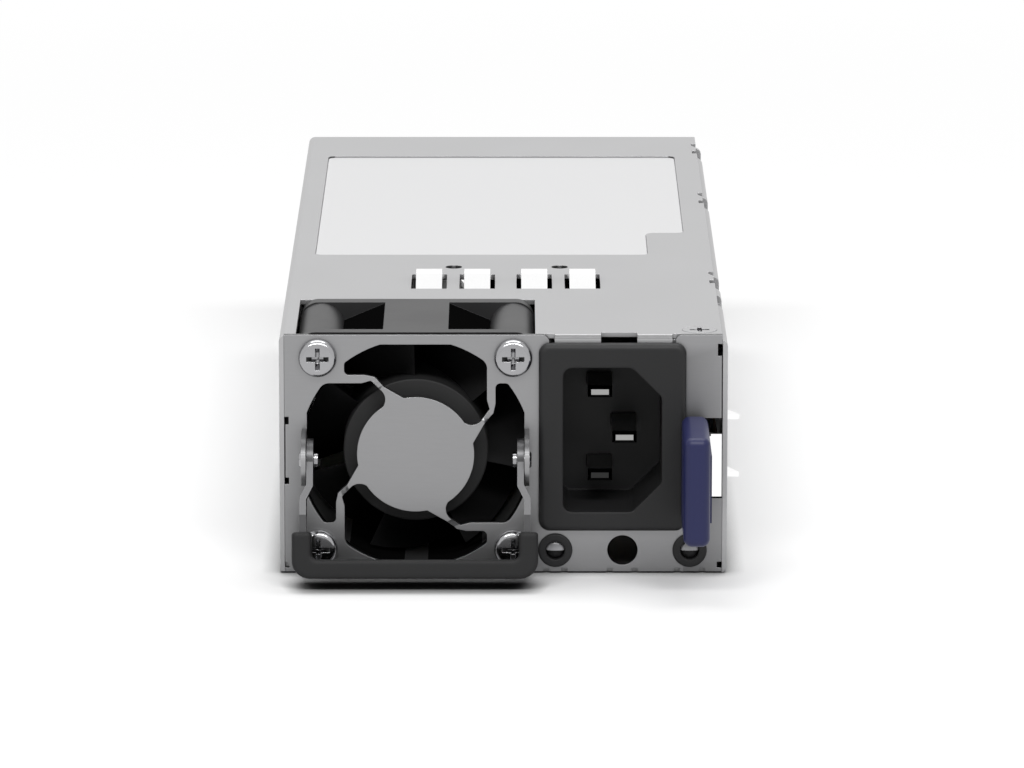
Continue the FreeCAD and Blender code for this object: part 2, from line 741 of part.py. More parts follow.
# ---------------------------------------------------------------- fan
tube_radius = 4.0 * grid       # bearing tube and its bore
bearing_radius = 3.0 * grid


def fan_frame():
    half = fan_size / 2
    square = rounded_block(fan_x - half, fan_x + half, fan_front, fan_back, fan_z - frame_half,
                           fan_z + frame_half, fan_corner, V(0, 1, 0))
    front_flange = square.common(block(left, right, fan_front, fan_front + fan_flange_front, -1, height + 1))
    back_flange = square.common(block(left, right, fan_back - fan_flange_back, fan_back, -1, height + 1))
    duct = rod(fan_bore + fan_duct_wall, V(fan_x, fan_front, fan_z), V(fan_x, fan_back, fan_z))
    pads = block(fan_x - fan_pad, fan_x + fan_pad, fan_front, fan_back,
                 fan_z - frame_half, fan_z + frame_half)
    # slanting sides run from the pads down to the bosses
    slant_high = frame_half - fan_pad_step
    slant_wide = fan_screw_pitch / 2 - fan_boss
    slant_low = slant_high - (slant_wide - fan_pad) * math.tan(math.radians(fan_slant))
    outline = [(-slant_wide, -slant_low), (-fan_pad, -slant_high), (fan_pad, -slant_high),
               (slant_wide, -slant_low), (slant_wide, slant_low), (fan_pad, slant_high),
               (-fan_pad, slant_high), (-slant_wide, slant_low)]
    sides = slab_xz([(fan_x + x, fan_z + z) for x, z in outline], fan_front, fan_back)
    solids = [front_flange, back_flange, duct.common(square), pads, sides]
    for x in fan_screw_x():
        for z in fan_screw_z():
            solids.append(rod(fan_boss, V(x, fan_front, z), V(x, fan_back, z)).common(square))
    frame = joined(solids)
    frame = frame.cut(rod(fan_bore, V(fan_x, fan_front - 1, fan_z), V(fan_x, fan_back + 1, fan_z)))
    # motor base, bearing tube and four struts at the back
    base_start = fan_back - 2.4
    base = rod(hub_radius, V(fan_x, base_start, fan_z), V(fan_x, fan_back, fan_z))
    tube = rod(tube_radius, V(fan_x, fan_front + 7.0, fan_z), V(fan_x, base_start + 0.5, fan_z))
    struts = []
    for k in range(4):
        strut = block(hub_radius - 1, fan_bore + 0.6, base_start, fan_back, -1.0, 1.0)
        strut = strut.translate(V(fan_x, 0, fan_z))
        strut.rotate(V(fan_x, 0, fan_z), V(0, 1, 0), 20 + 90 * k)
        struts.append(strut)
    frame = joined([frame, base, tube] + struts)
    frame = frame.cut(rod(bearing_radius, V(fan_x, fan_front + 6, fan_z), V(fan_x, base_start, fan_z)))
    tools = []
    for x in fan_screw_x():
        for z in fan_screw_z():
            tools.append(rod(screw_radius + thread_gap, V(x, fan_front - 1, z), V(x, fan_back + 1, z)))
    return cut_all(frame, tools)


hub_face = panel_back + hub_start
hub_back = fan_back - 5.2
tip_radius = fan_bore - tip_gap


def blade():
    """One blade, lofted through three stations from inside the hub to past the tip. Each station is a
    curved strip wrapped round the axis, as wide as the step from blade to blade."""
    root_radius = hub_radius - 0.7
    end_radius = tip_radius + 0.9
    stations = [(root_radius, 1.3), ((root_radius + end_radius) / 2, 1.05), (end_radius, 0.85)]
    lead = hub_face + 2.6
    trail = hub_back - 0.6
    middle = (lead + trail) / 2
    camber = 1.5
    edge = 0.3
    wires = []
    for radius, thickness in stations:
        sweep = 2 * math.pi * radius / blade_count * blade_overlap

        def wrapped(x, y):
            return V(radius * math.sin(x / radius), y, radius * math.cos(x / radius))

        a = wrapped(-sweep / 2, lead)
        b = wrapped(sweep / 2, trail)
        upper = wrapped(camber + thickness / 2, middle)
        lower = wrapped(camber - thickness / 2, middle)
        nose = wrapped(edge - sweep / 2, lead)
        tail = wrapped(sweep / 2 - edge, trail)
        edges = [Part.Arc(nose, upper, b).toShape(), Part.makeLine(b, tail),
                 Part.Arc(tail, lower, a).toShape(), Part.makeLine(a, nose)]
        wires.append(Part.Wire(edges))
    return Part.makeLoft(wires, True, False)


def fan_impeller():
    cup = rod(hub_radius, V(0, hub_face, 0), V(0, hub_back, 0))
    rim = [e for e in cup.Edges if e.BoundBox.YMax < hub_face + 0.01]
    cup = cup.makeFillet(0.3, rim)
    cup = cup.cut(rod(hub_radius - 1.0, V(0, hub_face + 1.2, 0), V(0, hub_back + 1, 0)))
    boss = rod(2.4 * grid, V(0, hub_face + 1.0, 0), V(0, hub_face + 4.2, 0))
    cup = joined([cup, boss]).cut(rod(shaft_radius, V(0, hub_face + 0.6, 0), V(0, hub_face + 6, 0)))
    limit = ring(tip_radius, hub_radius - 0.3, V(0, hub_face, 0), V(0, hub_back, 0))
    pattern = blade().common(limit)
    solids = [cup]
    for k in range(blade_count):
        one = pattern.copy()
        one.rotate(V(0, 0, 0), V(0, 1, 0), 360.0 / blade_count * k + 8)
        solids.append(one)
    wheel = joined(solids)
    wheel.translate(V(fan_x, 0, fan_z))
    return wheel


def along_fan(outer, inner, y0, y1):
    start = V(fan_x, y0, fan_z)
    end = V(fan_x, y1, fan_z)
    if inner:
        return ring(outer, inner, start, end)
    return rod(outer, start, end)


def fan_motor():
    yoke_out = hub_radius - 1.0
    yoke_in = yoke_out - 0.8 * grid
    magnet_in = yoke_in - 1.0 * grid
    parts["rotor_yoke"] = along_fan(yoke_out, yoke_in, hub_face + 1.2, hub_back)
    parts["rotor_magnet"] = along_fan(yoke_in, magnet_in, hub_face + 5.0, hub_back - 0.5)
    parts["fan_shaft"] = along_fan(shaft_radius, 0, hub_face + 0.6, fan_back - 3.2)
    bearing = []
    for y in (fan_front + 7.4, fan_back - 6.2):
        bearing.append(along_fan(bearing_radius, shaft_radius + running_gap, y, y + 2.6))
    parts["fan_bearings"] = group(bearing)
    core_out = magnet_in - 0.4 * grid
    core_in = tube_radius + press_clear
    root = 4.9 * grid
    core = along_fan(core_out, core_in, hub_face + 6.0, hub_back - 2.0)
    slots = []
    for k in range(4):
        slot = block(root, core_out - 1.4 * grid, hub_face, hub_back, -2.2 * grid, 2.2 * grid)
        slot = slot.fuse(block(root, core_out + 1, hub_face, hub_back, -0.7 * grid, 0.7 * grid))
        slot.translate(V(fan_x, 0, fan_z))
        slot.rotate(V(fan_x, 0, fan_z), V(0, 1, 0), 90 * k + 45)
        slots.append(slot)
    parts["stator_core"] = cut_all(core, slots)
    coils = []
    for k in range(4):
        coil = rounded_block(root + 0.2 * grid, core_out - 1.6 * grid, hub_face + 5.2, hub_back - 1.2,
                             -1.9 * grid, 1.9 * grid, 0.6 * grid, V(0, 0, 1))
        coil.translate(V(fan_x, 0, fan_z))
        coil.rotate(V(fan_x, 0, fan_z), V(0, 1, 0), 90 * k + 45)
        coils.append(coil)
    parts["stator_coils"] = group([coil.cut(parts["stator_core"]) for coil in coils])
    parts["fan_board"] = along_fan(hub_radius - 1.6, core_in, fan_back - 3.7, fan_back - 2.6)
    screws = []
    for x in fan_screw_x():
        for z in fan_screw_z():
            screws.append(pan_screw(x, z, front, 8.0))
    parts["fan_screws"] = group(screws)


# ---------------------------------------------------------------- inlet and indicators
def cavity_face(y):
    """Six-sided mouth of the inlet: both corners on the right are bevelled."""
    x0 = inlet_x - cavity_width / 2
    x1 = inlet_x + cavity_width / 2
    z0 = socket_z - cavity_height / 2
    z1 = socket_z + cavity_height / 2
    c = cavity_chamfer
    points = [(x0, z0), (x1 - c, z0), (x1, z0 + c), (x1, z1 - c), (x1 - c, z1), (x0, z1)]
    return closed([V(x, y, z) for x, z in points])


def inlet_body():
    x0 = inlet_x - flange_width / 2
    x1 = inlet_x + flange_width / 2
    z0 = inlet_z - flange_height / 2
    z1 = inlet_z + flange_height / 2
    flange = rounded_block(x0, x1, front - flange_proud, front, z0, z1, 1.8, V(0, 1, 0))
    rim = [e for e in flange.Edges if e.BoundBox.YMax < front - flange_proud + 0.01]
    flange = flange.makeFillet(0.9, rim)
    m = body_margin
    body = rounded_block(x0 + m, x1 - m, front - 0.1, front + body_depth, z0 + m, z1 - m - 1.0, 1.2,
                         V(0, 1, 0))
    body = joined([flange, body])
    floor = front - flange_proud + cavity_depth
    cavity = cavity_face(front - flange_proud - 1).extrude(V(0, cavity_depth + 1, 0))
    soft = [e for e in cavity.Edges if e.BoundBox.YLength > 5]
    cavity = cavity.makeFillet(cavity_fillet, soft)
    body = body.cut(cavity)
    # moulded snap ledges that hold the body behind the panel
    ledges = []
    for side in (-1, 1):
        edge_x = inlet_x + side * (flange_width / 2 - m)
        points = [(edge_x - side * 0.2, panel_back + 0.1), (edge_x + side * 0.7, panel_back + 0.1),
                  (edge_x - side * 0.2, panel_back + 3.5)]
        ledges.append(slab_xy(points, inlet_z - 10, inlet_z - 4))
        ledges.append(slab_xy(points, inlet_z + 4, inlet_z + 8))
    body = joined([body] + ledges)
    for place in pin_places():
        x, z = place
        body = body.cut(block(x - pin_width / 2, x + pin_width / 2, floor - 1, front + body_depth + 1,
                              z - pin_thickness / 2, z + pin_thickness / 2))
    return body


def pin_places():
    return [(inlet_x - pin_offset, socket_z + pin_pitch / 2), (inlet_x + pin_offset, socket_z),
            (inlet_x - pin_offset, socket_z - pin_pitch / 2)]


def inlet_pin(x, z, length):
    """Pin with chamfered tip; its tail narrows to a solder blade behind the body."""
    floor = front - flange_proud + cavity_depth
    tip = floor - length
    half = pin_width / 2
    thin = pin_thickness / 2
    bar = block(x - half, x + half, tip, front + body_depth, z - thin, z + thin)
    face = [e for e in bar.Edges if e.BoundBox.YMax < tip + 0.01]
    bar = bar.makeChamfer(0.55, face)
    tail = block(x - half + 0.4, x + half - 0.4, front + body_depth - 0.1, front + body_depth + 7.0,
                 z - 0.4, z + 0.4)
    eye = rod(0.7, V(x, front + body_depth + 5.0, z - 1), V(x, front + body_depth + 5.0, z + 1))
    return joined([bar, tail]).cut(eye)


def inlet():
    parts["inlet_body"] = inlet_body()
    names = ("line_pin", "earth_pin", "neutral_pin")
    lengths = (pin_length, earth_pin_length, pin_length)
    for name, place, length in zip(names, pin_places(), lengths):
        parts[name] = inlet_pin(place[0], place[1], length)


def indicators():
    bezels = []
    lenses = []
    leds = []
    for x in indicator_places():
        y0 = front - bezel_proud
        flange = rod(bezel_radius, V(x, y0, row_height), V(x, front, row_height))
        rim = [e for e in flange.Edges if e.BoundBox.YMax < y0 + 0.01]
        flange = flange.makeFillet(0.2, rim)
        barrel = rod(barrel_radius, V(x, front - 0.1, row_height), V(x, panel_back + 4, row_height))
        bore = rod(lens_radius + 0.05, V(x, y0 - 1, row_height), V(x, panel_back + 5, row_height))
        bezels.append(joined([flange, barrel]).cut(bore))
        ball = Part.makeSphere(lens_radius, V(x, y0 + lens_radius, row_height))
        dome = ball.common(block(x - 3, x + 3, y0 - 2, y0 + lens_radius, 0.1, row_height + 3))
        body = rod(lens_radius, V(x, y0 + lens_radius, row_height), V(x, panel_back + 3.0, row_height))
        lens = joined([dome, body])
        collar = rod(lens_radius - 0.3, V(x, panel_back + 2.9, row_height),
                     V(x, panel_back + 4.4, row_height))
        lenses.append(lens)
        leds.append(collar.cut(lens))
    parts["indicator_bezels"] = group(bezels)
    parts["indicator_lenses"] = group(lenses)
    parts["indicator_leds"] = group(leds)


# ---------------------------------------------------------------- handle
def to_handle(shape):
    """From the handle's own frame, hanging straight down from the origin, to its place on the part."""
    shape.rotate(V(0, 0, 0), V(1, 0, 0), -handle_tilt)
    shape.translate(V(fan_x, pivot_y, pivot_z))
    return shape


strap_middle = ear_inner - strap_gap - strap_sheet / 2       # strap's middle beside the ear
strap_out = strap_middle + strap_joggle                     # and beside the grip


def strap_body(grow):
    left_side = [(-strap_middle, 6), (-strap_middle, -4.2), (-strap_out, -6.4), (-strap_out, -grip_drop)]
    right_side = [(-x, z) for x, z in left_side[::-1]]
    outline = strip(left_side + right_side, strap_sheet + 2 * grow)
    bent = slab_xz(outline, -grip_forward - grip_depth / 2, grip_depth)
    wide = grip_depth / 2 - 0.8
    reach = strap_out + 2
    boss = rod(3.5, V(-reach, 0, 0), V(reach, 0, 0))
    blade_points = [(3.3, 0.6), (wide - grip_forward, -9), (wide - grip_forward, -grip_drop - 2),
                    (-wide - grip_forward, -grip_drop - 2), (-wide - grip_forward, -9), (-3.3, 0.6)]
    side = joined([boss, slab_yz(blade_points, -reach, reach)])
    return bent.common(side)


def handle_strap():
    strap = strap_body(0)
    hole = rod(pivot_pin_radius + running_gap, V(-strap_out - 2, 0, 0), V(strap_out + 2, 0, 0))
    return to_handle(strap.cut(hole))


def handle_grip():
    outer = strap_out + strap_sheet / 2 + grip_wall + 0.2
    inner = strap_out - strap_sheet / 2 - 0.85
    low = -grip_drop - grip_bar / 2
    top = -grip_drop + grip_bar / 2
    upright = top + grip_upright - grip_bar
    y0 = -grip_forward - grip_depth / 2
    y1 = y0 + grip_depth
    solid = block(-outer, outer, y0, y1, low, upright)
    lower = [e for e in solid.Edges if e.BoundBox.YLength > 1 and e.BoundBox.ZMax < low + 0.01]
    solid = solid.makeFillet(3.0, lower)
    middle = block(-inner, inner, y0 - 1, y1 + 1, top, upright + 1)
    lower = [e for e in middle.Edges if e.BoundBox.YLength > 1 and e.BoundBox.ZMax < top + 0.01]
    middle = middle.makeFillet(1.0, lower)
    solid = solid.cut(middle)
    faces = []
    for edge in solid.Edges:
        box = edge.BoundBox
        if box.YLength < 0.01 or box.ZMin > upright - 0.01:
            faces.append(edge)
    solid = solid.makeFillet(0.55, faces)
    return to_handle(solid.cut(strap_body(0)))


def handle_rivets():
    """Pivot rivet through ear and strap, headed on both sides, one each side."""
    x_ear = fan_x - ear_inner
    x_in = x_ear + strap_gap + strap_sheet + 0.08
    y = pivot_y
    z = pivot_z
    shank = rod(pivot_pin_radius, V(x_ear - ear_sheet, y, z), V(x_in + 0.1, y, z))
    head = rod(pivot_head_radius, V(x_in, y, z), V(x_in + 0.65, y, z))
    tail = cone(1.1, 1.5, V(x_ear - ear_sheet - 0.35, y, z), V(x_ear - ear_sheet, y, z))
    one = joined([tail, shank, head])
    return group([one, mirrored(one, fan_x)])


# ---------------------------------------------------------------- latch
def latch_arm():
    """Spring arm along the right wall: web in the panel's slot, core for the tab, and two hooks."""
    middle = latch_outer - latch_sheet / 2
    core = core_left + latch_sheet / 2
    web_y = front + 0.0
    tab_x = core_left - 0.9
    line = [(middle, front + latch_hinge - 0.1), (middle, web_y), (core, web_y), (core, front - 1.7),
            (tab_x, front - 3.9), (tab_x, front - tab_clear - tab_length + 2.2)]
    top = latch_low + latch_height
    arm = slab_xy(strip(line, latch_sheet), latch_low, top)
    hooks = []
    y0 = front + hook_back
    for z in (latch_low, top - latch_sheet):
        points = [(latch_inner, y0), (right + hook_reach, y0), (right + hook_reach, y0 + 0.5),
                  (right - 0.2, y0 + hook_ramp), (latch_inner, y0 + hook_ramp + 1.2)]
        hooks.append(slab_xy(points, z, z + latch_sheet))
    # relief between the hooks makes the arm springy behind them
    relief = rounded_block(latch_inner - 1, latch_outer + 1, front + 26, front + latch_hinge - 6,
                           latch_middle - 2.2, latch_middle + 2.2, 2.0, V(1, 0, 0))
    return joined([arm.cut(relief)] + hooks)


def latch_tab(arm):
    right_side = core_left + 0.2
    back = front - tab_clear
    tab = block(right_side - tab_width, right_side, back - tab_length, back, tab_low, tab_low + tab_height)
    upright = [e for e in tab.Edges if e.BoundBox.ZLength > 5]
    tab = tab.makeFillet(1.5, upright)
    ends = [e for e in tab.Edges if e.BoundBox.ZLength < 0.01]
    tab = tab.makeFillet(1.3, ends)
    rib = block(right_side - 0.5, right_side + 0.3, back - tab_length + 3, back - 1.5, tab_low + 3.5,
                tab_low + tab_height - 3.5)
    return joined([tab, rib]).cut(arm)


def latch():
    arm = latch_arm()
    parts["latch_arm"] = arm
    parts["latch_tab"] = latch_tab(arm)
    leaf = block(latch_inner, latch_outer, leaf_start, leaf_start + leaf_length, latch_low + 1,
                 latch_low + latch_height - 1)
    rivets = []
    for y in leaf_rivets:
        start = V(latch_inner, y, latch_middle)
        leaf = leaf.cut(rod(latch_rivet_radius + thread_gap, V(latch_inner - 1, y, latch_middle),
                            V(latch_outer + 1, y, latch_middle)))
        shank = rod(latch_rivet_radius, start, V(right, y, latch_middle))
        head = cone(1.8, 2.6, V(latch_inner - 0.9, y, latch_middle), start)
        rivets.append(joined([shank, head]))
    spacer = block(latch_outer, inner_right, leaf_start, leaf_start + leaf_length, latch_low + 1,
                   latch_low + latch_height - 1)
    for y in leaf_rivets:
        spacer = spacer.cut(rod(latch_rivet_radius + thread_gap, V(latch_outer - 1, y, latch_middle),
                                V(inner_right + 1, y, latch_middle)))
    parts["latch_leaf"] = joined([leaf, spacer])
    parts["latch_rivets"] = group(rivets)


# ---------------------------------------------------------------- electronics
standoff_bore = 1.25
board_hole = 1.55
board_screw_head = 2.4
contact_pitch = 2.54
contact_thick = 0.06


def spot(x, y, z):
    """A place on the board: grid steps from its middle, from its front edge and from its upper face."""
    return V(x * across, board_y + y * along, board_top + z * up)


def case(x0, x1, y0, y1, z0, z1, radius, axis):
    """A moulded or canned part on the board, in grid steps, with rounded edges along one axis."""
    low = spot(x0, y0, z0)
    high = spot(x1, y1, z1)
    return rounded_block(low.x, high.x, low.y, high.y, low.z, high.z, radius * across, axis)


def standoff_places():
    x_far = board_half - 4.5
    ys = (board_y + 4.0, spot(0, 54, 0).y, rear - 10.0)
    return [(x, y) for x in (-x_far, x_far) for y in ys]


def main_board():
    board = block(-board_half, board_half, board_y, board_back, board_bottom, board_top)
    tongue = block(-tongue_width / 2, tongue_width / 2, board_back - 0.1, rear + tongue_reach, board_bottom,
                   board_top)
    nose = [e for e in tongue.Edges if e.BoundBox.YMin > rear + tongue_reach - 0.01
            and e.BoundBox.XLength > 1]
    tongue = tongue.makeChamfer(board_thick / 4, nose)
    key = block(-1.0, 1.0, rear + 1.5, rear + tongue_reach + 1, board_bottom - 1, board_top + 1)
    tongue = tongue.cut(key)
    board = joined([board, tongue])
    holes = [rod(board_hole, V(x, y, board_bottom - 1), V(x, y, board_top + 1))
             for x, y in standoff_places()]
    return cut_all(board, holes)


def gold_contacts():
    contacts = []
    per_side = int((tongue_width / 2 - 2.2) / contact_pitch)
    half = contact_pitch / 3
    y0 = rear + 1.6
    y1 = rear + tongue_reach - 0.8
    for side in (-1, 1):
        for k in range(per_side):
            x = side * (2.4 + k * contact_pitch)
            contacts.append(block(x - half, x + half, y0, y1, board_top, board_top + contact_thick))
            contacts.append(block(x - half, x + half, y0, y1, board_bottom - contact_thick, board_bottom))
    return group(contacts)


def board_mounting():
    standoffs = []
    screws = []
    head_height = 1.4
    for x, y in standoff_places():
        standoffs.append(ring(standoff_radius, standoff_bore, V(x, y, sheet), V(x, y, board_bottom)))
        shank = rod(standoff_bore - thread_gap, V(x, y, board_bottom - 2.4), V(x, y, board_top))
        head = rod(board_screw_head, V(x, y, board_top), V(x, y, board_top + head_height))
        rim = [e for e in head.Edges if e.BoundBox.ZMin > board_top + head_height - 0.1]
        head = head.makeFillet(0.6, rim)
        slot = block(x - 1.5, x + 1.5, y - 0.3, y + 0.3, board_top + head_height - 0.6, board_top + 2)
        screws.append(joined([shank, head]).cut(slot))
    parts["board_standoffs"] = group(standoffs)
    parts["board_screws"] = group(screws)
    film_low = sheet + seam
    film = block(-board_half - 0.5, board_half + 0.5, board_y, rear - sheet - 6.2, film_low, film_low + 0.4)
    parts["insulation_film"] = cut_all(film, [rod(standoff_radius + 0.2, V(x, y, 0), V(x, y, 3))
                                              for x, y in standoff_places()])


def comb(x0, x1, y0, y1, z1):
    """Heatsink on the board, in grid steps: an upright plate with fins towards +X."""
    low = spot(x0, y0, 0)
    high = spot(x1, y1, z1)
    foot = low.x + 2.4 * across
    solids = [block(low.x, foot, low.y, high.y, low.z, high.z)]
    fins = 6
    thin = 1.2 * up
    pitch = (high.z - low.z - thin) / (fins - 1)
    for k in range(fins):
        z = low.z + k * pitch
        solids.append(block(foot - 0.1, high.x, low.y, high.y, z, z + thin))
    return joined(solids)


def toroid(x, y, outer, inner, high):
    """Wound ring lying flat, in grid steps: a section with bevelled corners, turned about the ring's axis."""
    b = (outer - inner) * 0.28
    section = [(inner + b, 0), (outer - b, 0), (outer, b), (outer, high - b), (outer - b, high),
               (inner + b, high), (inner, high - b), (inner, b)]
    turned = closed([V(r * across, 0, z * up) for r, z in section]).revolve(V(0, 0, 0), V(0, 0, 1), 360)
    turned.translate(spot(x, y, 0))
    return turned


def electronics():
    parts["main_board"] = main_board()
    parts["gold_contacts"] = gold_contacts()
    board_mounting()
    upright = V(0, 0, 1)
    # input filter, behind the fan and the inlet
    fuse_radius = 2.8 * across
    cap_radius = fuse_radius + 0.2
    tube = spot(-28.5, 9, 0) + V(0, 0, cap_radius)
    tail = spot(-28.5, 23, 0) + V(0, 0, cap_radius)
    fuse = rod(fuse_radius, tube, tail)
    caps = [rod(cap_radius, tube - V(0, 1, 0), tube + V(0, 3, 0)),
            rod(cap_radius, tail - V(0, 3, 0), tail + V(0, 1, 0))]
    parts["fuse"] = joined([fuse] + caps)
    parts["safety_capacitor"] = case(-21, -5, 3, 11, 0, 16, 1.2, upright)
    parts["common_mode_choke"] = toroid(8, 12, 10.5, 5.0, 15)
    parts["relay"] = case(21.5, 31, 7, 22, 0, 15, 0.6, upright)
    # rectifier and power factor stage
    parts["primary_heatsink"] = comb(-20.5, -6, 14.5, 24, 29)
    parts["bridge_rectifier"] = case(-24.6, -20.5, 14.5, 24, 8, 27, 0.6, V(1, 0, 0))
    parts["pfc_choke"] = toroid(20, 37, 13, 5.5, 16)
    bulk_radius = 14.5 * across
    bulk_start = spot(-18.5, 27, 0) + V(0, 0, bulk_radius + seam)
    bulk_end = spot(-18.5, 67, 0) + V(0, 0, bulk_radius + seam)
    bulk = rod(bulk_radius, bulk_start, bulk_end)
    parts["bulk_capacitor"] = bulk.makeFillet(1.2, [e for e in bulk.Edges if e.BoundBox.YLength < 0.01])
    # converter: transformer, its core, rectifier heatsink and bus bars
    tx = 12
    ty = 70
    low = spot(tx - 15, ty - 12, 0)
    high = spot(tx + 15, ty + 12, 27)
    core = block(low.x, high.x, low.y, high.y, low.z, high.z)
    window_low = spot(tx - 10, ty - 13, 4.5)
    window_high = spot(tx + 10, ty + 13, 22.5)
    window = block(window_low.x, window_high.x, window_low.y, window_high.y, window_low.z, window_high.z)
    limb = rod(5 * across, spot(tx, ty, 4.4), spot(tx, ty, 22.6))
    parts["transformer_core"] = joined([core.cut(window), limb])
    parts["transformer_winding"] = ring(9.6 * across, 5.2 * across, spot(tx, ty, 5), spot(tx, ty, 22))
    parts["secondary_heatsink"] = comb(-30, -14, 85, 113, 27)
    parts["sync_rectifiers"] = group([case(-32.4, -30, 87 + 9 * k, 94 + 9 * k, 4, 14, 0.4, V(1, 0, 0))
                                      for k in range(3)])
    outputs = []
    for row in range(3):
        for column in range(3):
            can = rod(4 * across, spot(9 * column - 21.5, 120.5 + 9 * row, 0),
                      spot(9 * column - 21.5, 120.5 + 9 * row, 16))
            top = [e for e in can.Edges if e.BoundBox.ZMin > board_top + 1]
            outputs.append(can.makeFillet(0.5, top))
    parts["output_capacitors"] = group(outputs)
    bars = []
    bar_sheet = 1.2
    bar_start = spot(0, 85, 12)
    bar_end = spot(0, 143, 12)
    for x in (1.5, 6.5):
        line = [(bar_start.y, board_top - 1), (bar_start.y, bar_start.z), (bar_end.y, bar_end.z),
                (bar_end.y, board_top - 1)]
        bar = slab_yz(strip(line, bar_sheet), x * across, (x + 3.4) * across)
        bars.append(bar.cut(block(left, right, front, rear, 0, board_top)))
    parts["output_bus_bars"] = group(bars)
    # control board stands on edge beside the bus bars
    low = spot(16, 87, 0)
    high = spot(17.2, 139, 26)
    parts["control_board"] = block(low.x, high.x, low.y, high.y, low.z, high.z)
    parts["control_connector"] = case(13.4, 16, 93, 117, 0, 4, 0.3, upright)
    chips = []
    chip_places = ((95, 8, 9, 9), (111, 9, 7, 7), (123, 7, 5, 4), (123, 15, 6, 5), (111, 20, 8, 4))
    for y, z, long, high in chip_places:
        chips.append(case(17.2, 18.6, y, y + long, z, z + high, 0.2, V(1, 0, 0)))
    parts["control_chips"] = group(chips)
    parts["resonant_choke"] = case(22.5, 33, 93, 107, 0, 20, 1.0, upright)
    parts["standby_transformer"] = case(22.5, 33, 115, 131, 0, 14, 1.0, upright)


# ---------------------------------------------------------------- build and write
parts["base_tray"] = base_tray()
parts["top_cover"] = top_cover()
parts["rating_label"] = rating_label()
parts["rear_panel"] = rear_panel()
parts["fan_grille"], parts["front_panel"] = panel_nodes()
parts["handle_ears"] = group([ear(), mirrored(ear(), fan_x)])
parts["cover_screw"] = cover_screw()
parts["emi_springs"] = emi_springs()
parts["fan_frame"] = fan_frame()
parts["fan_impeller"] = fan_impeller()
fan_motor()
inlet()
indicators()
parts["handle_strap"] = handle_strap()
parts["handle_grip"] = handle_grip()
parts["handle_rivets"] = handle_rivets()
latch()
electronics()

os.makedirs("parts", exist_ok=True)
for name, shape in parts.items():
    shape.exportStep("parts/" + name + ".step")
    box = shape.BoundBox
    solids = len(shape.Solids)
    print(name, "solids", solids, "valid", shape.isValid(), "x %.2f %.2f" % (box.XMin, box.XMax),
          "y %.2f %.2f" % (box.YMin, box.YMax), "z %.2f %.2f" % (box.ZMin, box.ZMax))
print(len(parts), "nodes")
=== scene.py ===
# %% [markdown]
# # A hot swap server power supply, dressed in Blender
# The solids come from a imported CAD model, which is loaded as a fixed frame: every piece below goes where
# that frame says. This notebook gives the solids their finishes and puts finer pieces in place of those
# whose detail a solid model leaves out. Each step first says what the real piece is, how it could be made,
# and why it is made the way it is.

# %% Load the frame
import json
import math

import bmesh
import bpy
from mathutils import Matrix, Vector


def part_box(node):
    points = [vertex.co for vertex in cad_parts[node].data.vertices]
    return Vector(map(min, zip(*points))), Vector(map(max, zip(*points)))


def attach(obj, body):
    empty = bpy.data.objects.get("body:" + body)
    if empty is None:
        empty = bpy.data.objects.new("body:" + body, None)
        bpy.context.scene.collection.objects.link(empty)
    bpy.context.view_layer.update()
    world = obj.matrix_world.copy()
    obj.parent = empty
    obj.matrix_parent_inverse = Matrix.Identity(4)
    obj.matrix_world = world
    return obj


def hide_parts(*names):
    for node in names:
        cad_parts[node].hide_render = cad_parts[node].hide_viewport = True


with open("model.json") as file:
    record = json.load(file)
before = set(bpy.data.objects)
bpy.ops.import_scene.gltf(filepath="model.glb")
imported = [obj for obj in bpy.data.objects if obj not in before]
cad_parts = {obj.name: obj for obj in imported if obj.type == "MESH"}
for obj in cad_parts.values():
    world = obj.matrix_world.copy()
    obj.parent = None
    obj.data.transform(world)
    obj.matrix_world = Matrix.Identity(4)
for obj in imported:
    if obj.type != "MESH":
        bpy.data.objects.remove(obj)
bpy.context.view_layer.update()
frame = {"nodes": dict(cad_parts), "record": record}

nodes = frame["nodes"]

# %% [markdown]
# ## Helpers
# A finish below is a tree of shader nodes, and a piece that repeats comes from a tree of geometry nodes.
# Both are built in code, so a few short functions make a node with its settings, a sum or product of two
# sockets, a ramp from one range to another, and a group with named inputs.

# %% Helpers for meshes and node trees
def mesh_object(name, vertices, faces):
    """A new object at the origin."""
    mesh = bpy.data.meshes.new(name)
    mesh.from_pydata([tuple(v) for v in vertices], [], faces)
    mesh.validate()
    mesh.update()
    piece = bpy.data.objects.new(name, mesh)
    bpy.context.scene.collection.objects.link(piece)
    return piece


def piece_from(shape, name):
    """A new object that takes over a bmesh, which is freed."""
    piece = mesh_object(name, [], [])
    shape.to_mesh(piece.data)
    shape.free()
    return piece


def smooth(mesh):
    """Smooth shading, but edges sharper than 35 degrees stay sharp."""
    mesh.shade_smooth()
    mesh.set_sharp_from_angle(angle=math.radians(35))


def middle(low, high):
    """The middle of a box with these two corners."""
    return [(a + b) / 2 for a, b in zip(low, high)]


def plain_material(name):
    material = bpy.data.materials.new(name)
    material.use_nodes = True
    tree = material.node_tree
    return material, tree, tree.nodes["Principled BSDF"]


def new_group(name, kind, inputs, outputs):
    """A node group of this kind and the sockets inside it. Each input is (name, type, default), with None
    where there is no default, and each output is (name, type)."""
    tree = bpy.data.node_groups.new(name, kind)
    for title, form, default in inputs:
        socket = tree.interface.new_socket(title, in_out="INPUT", socket_type="NodeSocket" + form)
        if default is not None:
            socket.default_value = default
    for title, form in outputs:
        tree.interface.new_socket(title, in_out="OUTPUT", socket_type="NodeSocket" + form)
    return tree, tree.nodes.new("NodeGroupInput").outputs, tree.nodes.new("NodeGroupOutput").inputs


